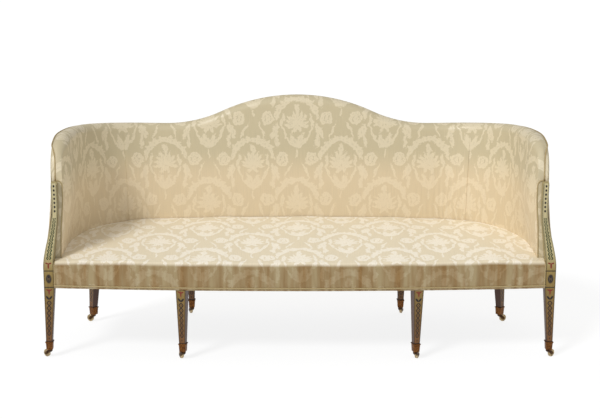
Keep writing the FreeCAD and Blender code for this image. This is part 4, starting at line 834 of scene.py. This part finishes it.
def leg_paint(name, middle, foot, turn, gold, stump):
    """Paint of one kind of leg. The point is mirrored to the right, moved to the leg's middle, which
    runs straight to the foot, and turned to the leg's own axes. The stump's middle follows a curve
    through its stages. The face that looks along gold carries the painted ground: a gold that darkens
    towards the foot and turns pale up the stump as a painted highlight of its glossy paint, with brushed
    graining, then each motif as an ellipse that repeats up the leg, then the dark lines. The other faces
    take a dark red-brown that is partly real paint and partly a painted shade of their unlit sides, and
    pale paint on a stump above the block."""
    made, tree, shader = new_material(name)
    spot = add(tree, "ShaderNodeTexCoord").outputs["Object"]
    place = add(tree, "ShaderNodeSeparateXYZ", {0: spot})
    right = add(tree, "ShaderNodeMath", {0: place.outputs[0]}, operation="ABSOLUTE").outputs[0]
    z = place.outputs[2]
    middle_x, middle_y, half = (
        add(tree, "ShaderNodeMapRange", {"Value": z, 1: FOOT_Z, 2: BLOCK_Z, 3: low, 4: high}).outputs[0]
        for low, high in ((foot[0], middle[0]), (foot[1], middle[1]), (FOOT_HALF, BLOCK_HALF))
    )
    if stump:
        inward, slimmer = (
            add(
                tree, "ShaderNodeMapRange", {"Value": z, 1: STUMP_FOOT, 2: STUMP_FOOT + span, 4: change},
                interpolation_type="SMOOTHSTEP",
            )
            for span, change in ((INWARD_SPAN, -STUMP_INWARD), (SLIM_SPAN, -STUMP_SLIM))
        )
        middle_x = add(
            tree, "ShaderNodeMath", {0: middle_x, 1: inward.outputs[0]}, operation="ADD",
        ).outputs[0]
        half = add(tree, "ShaderNodeMath", {0: half, 1: slimmer.outputs[0]}, operation="ADD").outputs[0]
    dx = add(tree, "ShaderNodeMath", {0: right, 1: middle_x}, operation="SUBTRACT").outputs[0]
    dy = add(tree, "ShaderNodeMath", {0: place.outputs[1], 1: middle_y}, operation="SUBTRACT").outputs[0]
    own = add(tree, "ShaderNodeCombineXYZ", {0: dx, 1: dy})
    own = add(
        tree, "ShaderNodeVectorRotate", {"Vector": own.outputs[0], "Angle": -turn}, rotation_type="Z_AXIS",
    )
    own = add(tree, "ShaderNodeSeparateXYZ", {0: own.outputs[0]})
    facing = add(tree, "ShaderNodeSeparateXYZ", {0: add(tree, "ShaderNodeNewGeometry").outputs["Normal"]})
    sign = add(tree, "ShaderNodeMath", {0: place.outputs[0]}, operation="SIGN").outputs[0]
    facing_x = add(tree, "ShaderNodeMath", {0: facing.outputs[0], 1: sign}, operation="MULTIPLY").outputs[0]
    look = add(tree, "ShaderNodeCombineXYZ", {0: facing_x, 1: facing.outputs[1]})
    look = add(
        tree, "ShaderNodeVectorRotate", {"Vector": look.outputs[0], "Angle": -turn}, rotation_type="Z_AXIS",
    )
    front = add(tree, "ShaderNodeVectorMath", {0: look.outputs[0], 1: gold}, operation="DOT_PRODUCT")
    front = add(tree, "ShaderNodeMath", {0: front.outputs["Value"], 1: 0.7}, operation="GREATER_THAN")
    across = own.outputs[0] if gold[1] else own.outputs[1]
    across = add(tree, "ShaderNodeMath", {0: across}, operation="ABSOLUTE").outputs[0]
    ground = add(tree, "ShaderNodeMath", {0: z, 1: LEG_TOP}, operation="DIVIDE").outputs[0]
    ground = add(tree, "ShaderNodeValToRGB", {0: ground})
    ramp = ground.color_ramp
    for k, (up, code) in enumerate(LEG_TONES_AND_HIGHLIGHT):
        stop = ramp.elements[k] if k < 2 else ramp.elements.new(up / LEG_TOP)
        stop.position = up / LEG_TOP
        stop.color = hex_colour(code)
    grain = add(tree, "ShaderNodeMapping", {"Vector": spot, "Scale": (240.0, 240.0, 14.0)})
    grain = add(tree, "ShaderNodeTexNoise", {"Vector": grain.outputs[0], "Scale": 1.0, "Detail": 3.0})
    grain = add(tree, "ShaderNodeMapRange", {"Value": grain.outputs[0], 1: 0.3, 2: 0.7, 3: 0.80, 4: 1.10})
    colour = add(
        tree, "ShaderNodeVectorMath", {0: ground.outputs[0], "Scale": grain.outputs[0]}, operation="SCALE",
    ).outputs[0]
    scaled = add(tree, "ShaderNodeMath", {0: across, 1: half}, operation="DIVIDE").outputs[0]
    scaled = add(tree, "ShaderNodeMath", {0: scaled, 1: MOTIF_HALF_WIDTH}, operation="MULTIPLY").outputs[0]
    for low, high, repeat, x, up, length, width, heading, code in LEG_MOTIFS:
        rise = add(tree, "ShaderNodeMath", {0: z, 1: low}, operation="SUBTRACT").outputs[0]
        rise = add(tree, "ShaderNodeMath", {0: rise, 1: repeat, 2: 0.0}, operation="WRAP").outputs[0]
        at = add(tree, "ShaderNodeCombineXYZ", {0: scaled, 1: rise})
        leaf = add(
            tree, "ShaderNodeMapping",
            {"Vector": at.outputs[0], "Location": (x, up, 0.0), "Rotation": (0.0, 0.0, math.radians(heading)),
             "Scale": (length, width, 1.0)}, vector_type="TEXTURE",
        )
        size = add(tree, "ShaderNodeVectorMath", {0: leaf.outputs[0]}, operation="LENGTH").outputs["Value"]
        mask = add(tree, "ShaderNodeMapRange", {"Value": size, 1: 1.15, 2: 0.80}).outputs[0]
        within = add(
            tree, "ShaderNodeMath", {0: z, 1: (low + high) / 2, 2: (high - low) / 2}, operation="COMPARE",
        )
        mask = add(tree, "ShaderNodeMath", {0: mask, 1: within.outputs[0]}, operation="MULTIPLY").outputs[0]
        colour = add(
            tree, "ShaderNodeMix", {0: mask, 6: colour, 7: hex_colour(code)}, data_type="RGBA",
        ).outputs[2]
    edge = add(tree, "ShaderNodeMath", {0: half, 1: across}, operation="SUBTRACT").outputs[0]
    border = add(tree, "ShaderNodeMath", {0: edge, 1: BORDER_IN, 2: BORDER_HALF}, operation="COMPARE")
    rim_line = add(tree, "ShaderNodeMath", {0: edge, 1: RIM_LINE}, operation="LESS_THAN").outputs[0]
    lines = add(tree, "ShaderNodeMath", {0: border.outputs[0], 1: rim_line}, operation="MAXIMUM").outputs[0]
    for up, reach in LEG_LINES:
        level = add(tree, "ShaderNodeMath", {0: z, 1: up, 2: reach}, operation="COMPARE").outputs[0]
        lines = add(tree, "ShaderNodeMath", {0: lines, 1: level}, operation="MAXIMUM").outputs[0]
    lines = add(tree, "ShaderNodeMath", {0: lines, 1: 0.85}, operation="MULTIPLY").outputs[0]
    colour = add(
        tree, "ShaderNodeMix", {0: lines, 6: colour, 7: hex_colour("1A120E")}, data_type="RGBA",
    ).outputs[2]
    # The other faces' dark red-brown is partly real paint and partly a painted shade of their unlit sides.
    side_paint_and_shade = add(
        tree, "ShaderNodeMix", {0: grain.outputs[0], 6: hex_colour("2E1610"), 7: hex_colour("482A1A")},
        data_type="RGBA",
    ).outputs[2]
    if stump:
        pale = add(tree, "ShaderNodeMapRange", {"Value": z, 1: 0.37, 2: 0.42}).outputs[0]
        side_paint_and_shade = add(
            tree, "ShaderNodeMix", {0: pale, 6: side_paint_and_shade, 7: hex_colour("A39468")}, data_type="RGBA",
        ).outputs[2]
    colour = add(
        tree, "ShaderNodeMix", {0: front.outputs[0], 6: side_paint_and_shade, 7: colour}, data_type="RGBA",
    ).outputs[2]
    tree.links.new(colour, shader.inputs["Base Color"])
    shader.inputs["Roughness"].default_value = 0.42
    shader.inputs["Specular IOR Level"].default_value = 0.35
    return made


# Front legs with their stumps: one piece of beech each, tapered to the castor, square at the seat
# rails, and swept inwards and back above them to carry the arm.
FRONT_FOOT_OUT = BLOCK_HALF - FOOT_HALF
FOOT_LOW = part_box("front_leg_right")[0][2]
CUP_HALVES = (10.75 * MM, 12.75 * MM)
BLOCK_TOP = 384.0 * MM
KNUCKLE_Z = 738.0 * MM
KNUCKLE = 14.0 * MM
CHAMFER = 1.0 * MM
STUMP_THINNER, THINNER_SPAN = 7.5 * MM, 200.0 * MM
STUMP_SWELL, SWELL_FROM = 3.0 * MM, 640.0 * MM
STUMP_BACK, BACK_FROM, BACK_SPAN = 11.2 * MM, 390.0 * MM, 90.0 * MM


def front_leg_rings():
    """Level rectangles with cut corners from the foot to the top. Above the block the middle moves in,
    the width and depth shrink, and the back face moves to the arm, all by smooth steps. An arc in y
    and z ends the stump."""
    levels = [FOOT_LOW, FOOT_Z - 0.1 * MM, FOOT_Z, COVER_FOOT, BLOCK_TOP]
    z = np.concatenate([levels, np.linspace(STUMP_FOOT, KNUCKLE_Z, 64)])
    turn = np.linspace(0.0, math.radians(84.0), 10)[1:]
    leg = np.clip((z - FOOT_Z) / (COVER_FOOT - FOOT_Z), 0.0, 1.0)
    square = FOOT_HALF + (BLOCK_HALF - FOOT_HALF) * leg
    x = BLOCK_X + FRONT_FOOT_OUT * (1 - leg) - STUMP_INWARD * smooth_step((z - STUMP_FOOT) / INWARD_SPAN)
    half = square - STUMP_SLIM * smooth_step((z - STUMP_FOOT) / SLIM_SPAN)
    deep = square - STUMP_THINNER * smooth_step((z - STUMP_FOOT) / THINNER_SPAN)
    deep = deep + STUMP_SWELL * smooth_step((z - SWELL_FROM) / (KNUCKLE_Z - SWELL_FROM))
    y = (BLOCK_HALF - deep) * (z > BLOCK_TOP) - FRONT_FOOT_OUT * (1 - leg)
    y = y + STUMP_BACK * smooth_step((z - BACK_FROM) / BACK_SPAN)
    half[:2] = deep[:2] = CUP_HALVES
    z = np.concatenate([z, KNUCKLE_Z + KNUCKLE * np.sin(turn)])
    x, y, half = (np.concatenate([row, 0 * turn + row[-1]]) for row in (x, y, half))
    deep = np.concatenate([deep, deep[-1] * np.cos(turn)])
    cut = np.minimum(CHAMFER, 0.3 * deep)
    a, b = np.stack([half - cut, half], axis=0), np.stack([deep - cut, deep], axis=0)
    across = np.stack([-a[0], a[0], a[1], a[1], a[0], -a[0], -a[1], -a[1]], axis=1)
    back = np.stack([-b[1], -b[1], -b[0], b[0], b[1], b[1], b[0], -b[0]], axis=1)
    return np.stack([x[:, None] + across, y[:, None] + back + LEG_PLANE_Y, z[:, None] + 0 * across], axis=-1)


for name, side in (("right", 1.0), ("left", -1.0)):
    rings = front_leg_rings() * np.array([side, 1.0, 1.0])
    leg = carried_mesh("front_leg_wood_" + name, rings, rings[..., [0, 2]])
    leg.data.polygons.foreach_set("use_smooth", [False] * len(leg.data.polygons))
    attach(leg, "sofa")
    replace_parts(leg, "front_leg_" + name)


# Inner and back legs: square tapered beech like the front ones. The inner front pair is turned with
# the bow, the back ones are splayed, and the corner pair stands across the corner. Each kind of leg
# takes its own paint, which starts from its middle at the rails and its middle at the foot.
INNER_X = 488.045 * MM
INNER_Y = -344.807 * MM
INNER_TURN = math.radians(14.0)
LEG_INSET = 1.0 * MM
LEG_LENGTH = BLOCK_Z - FOOT_Z
BACK_SPLAY = LEG_LENGTH * math.tan(math.radians(2.5))
CORNER_SPLAY = LEG_LENGTH * math.tan(math.radians(6.0))
DIAGONAL = math.sqrt(0.5)
corner_reach = (CORNER_RADIUS - LEG_INSET - BLOCK_HALF) * DIAGONAL
corner_middle = (CORNER_X + corner_reach, CORNER_Y + corner_reach + LEG_PLANE_Y)
corner_foot = tuple(value + CORNER_SPLAY * DIAGONAL for value in corner_middle)
back_y = WALL_BACK - LEG_INSET - BLOCK_HALF + LEG_PLANE_Y
leg_kinds = {
    "front_leg": leg_paint(
        "painted_front_leg", (BLOCK_X, LEG_PLANE_Y), (BLOCK_X + FRONT_FOOT_OUT, LEG_PLANE_Y - FRONT_FOOT_OUT),
        0.0, (0.0, -1.0, 0.0), True,
    ),
    "front_inner_leg": leg_paint(
        "painted_inner_leg", (INNER_X, INNER_Y), (INNER_X, INNER_Y), INNER_TURN, (0.0, -1.0, 0.0), False,
    ),
    "back_inner_leg": leg_paint(
        "painted_back_leg", (INNER_X, back_y), (INNER_X, back_y + BACK_SPLAY), 0.0, (0.0, -1.0, 0.0), False,
    ),
    "back_corner_leg": leg_paint(
        "painted_corner_leg", corner_middle, corner_foot, math.radians(-45.0), (1.0, 0.0, 0.0), False,
    ),
}
for kind, paint in leg_kinds.items():
    for side in ("right", "left"):
        leg = bpy.data.objects.get(kind + "_wood_" + side) or frame["nodes"][kind + "_" + side]
        leg.data.materials.clear()
        leg.data.materials.append(paint)


# Castors: cast brass cups with a collar, browned by age, and turned brass wheels worn pale at the
# rim. The riveted forks and axles are the same metal, darker with old grease.
PATINA_SCALE = 260.0


def brass(name, worn_code, dark_code, share, roughness):
    """Aged brass: two tones mixed by a noise of 4 mm patches; share is its value where they change."""
    made, tree, shader = new_material(name)
    spot = add(tree, "ShaderNodeTexCoord").outputs["Object"]
    noise = add(tree, "ShaderNodeTexNoise", {"Vector": spot, "Scale": PATINA_SCALE, "Detail": 4.0})
    patina = add(tree, "ShaderNodeMapRange", {"Value": noise.outputs[0], 1: share - 0.12, 2: share + 0.12})
    tones = add(
        tree, "ShaderNodeMix", {0: patina.outputs[0], 6: hex_colour(worn_code), 7: hex_colour(dark_code)},
        data_type="RGBA",
    )
    tree.links.new(tones.outputs[2], shader.inputs["Base Color"])
    shader.inputs["Metallic"].default_value = 1.0
    shader.inputs["Roughness"].default_value = roughness
    return made


castor_metals = {
    "castor_cups": brass("browned_brass", "86592F", "4E2F1D", 0.50, 0.50),
    "castor_fork": brass("dark_brass", "6B4A2C", "2C1F18", 0.45, 0.50),
    "castor_axle": brass("axle_brass", "8A6A40", "4A3423", 0.50, 0.45),
    "castor_wheel": brass("worn_brass", "C9B48C", "5A4632", 0.52, 0.34),
}
for node, cad_piece in frame["nodes"].items():
    for kind, metal in castor_metals.items():
        if node.startswith(kind):
            cad_piece.data.materials.clear()
            cad_piece.data.materials.append(metal)


# Floor, backdrop and lamp: a white ground that is mostly lit from below, so that the shadow stays
# faint, an even white room, and one soft light from the upper left, a little in front.
TABLE_GLOW, TABLE_SHARE = 1.08, 0.78
ROOM_STRENGTH = 0.50
LIGHT_TILT, LIGHT_HEADING, LIGHT_SPREAD, LIGHT_POWER = 46.0, -40.0, 14.0, 1.74
floor_material, tree, shader = new_material("white_ground")
shader.inputs["Base Color"].default_value = hex_colour("FFFFFF")
shader.inputs["Roughness"].default_value = 1.0
shader.inputs["Specular IOR Level"].default_value = 0.0
light_table = add(tree, "ShaderNodeEmission", {"Color": hex_colour("FFFFFF"), "Strength": TABLE_GLOW})
ground_mix = add(
    tree, "ShaderNodeMixShader", {0: TABLE_SHARE, 1: shader.outputs[0], 2: light_table.outputs[0]},
)
tree.links.new(ground_mix.outputs[0], tree.nodes["Material Output"].inputs["Surface"])
bpy.ops.mesh.primitive_plane_add(size=120.0)
floor = bpy.context.object
floor.name = "floor"
floor.data.materials.append(floor_material)
floor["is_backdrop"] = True

world = bpy.data.worlds.new("studio")
bpy.context.scene.world = world
world.use_nodes = True
sky_tree = world.node_tree
sky_tree.nodes.clear()
ray = add(sky_tree, "ShaderNodeLightPath")
shown = add(
    sky_tree, "ShaderNodeMath", {0: ray.outputs["Is Camera Ray"], 1: ray.outputs["Is Transmission Ray"]},
    operation="MAXIMUM",
)
glow = add(sky_tree, "ShaderNodeMapRange", {"Value": shown.outputs[0], 3: ROOM_STRENGTH, 4: 1.0})
sky = add(sky_tree, "ShaderNodeBackground", {"Color": hex_colour("FFFFFF"), "Strength": glow.outputs[0]})
add(sky_tree, "ShaderNodeOutputWorld", {"Surface": sky.outputs[0]})
lamp = bpy.data.lights.new("light_left", "SUN")
lamp.energy = LIGHT_POWER
lamp.angle = math.radians(LIGHT_SPREAD)
held = bpy.data.objects.new("light_left", lamp)
held.rotation_euler = (math.radians(LIGHT_TILT), 0.0, math.radians(LIGHT_HEADING))
bpy.context.scene.collection.objects.link(held)
bpy.context.scene.view_settings.view_transform = "Standard"

low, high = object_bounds()
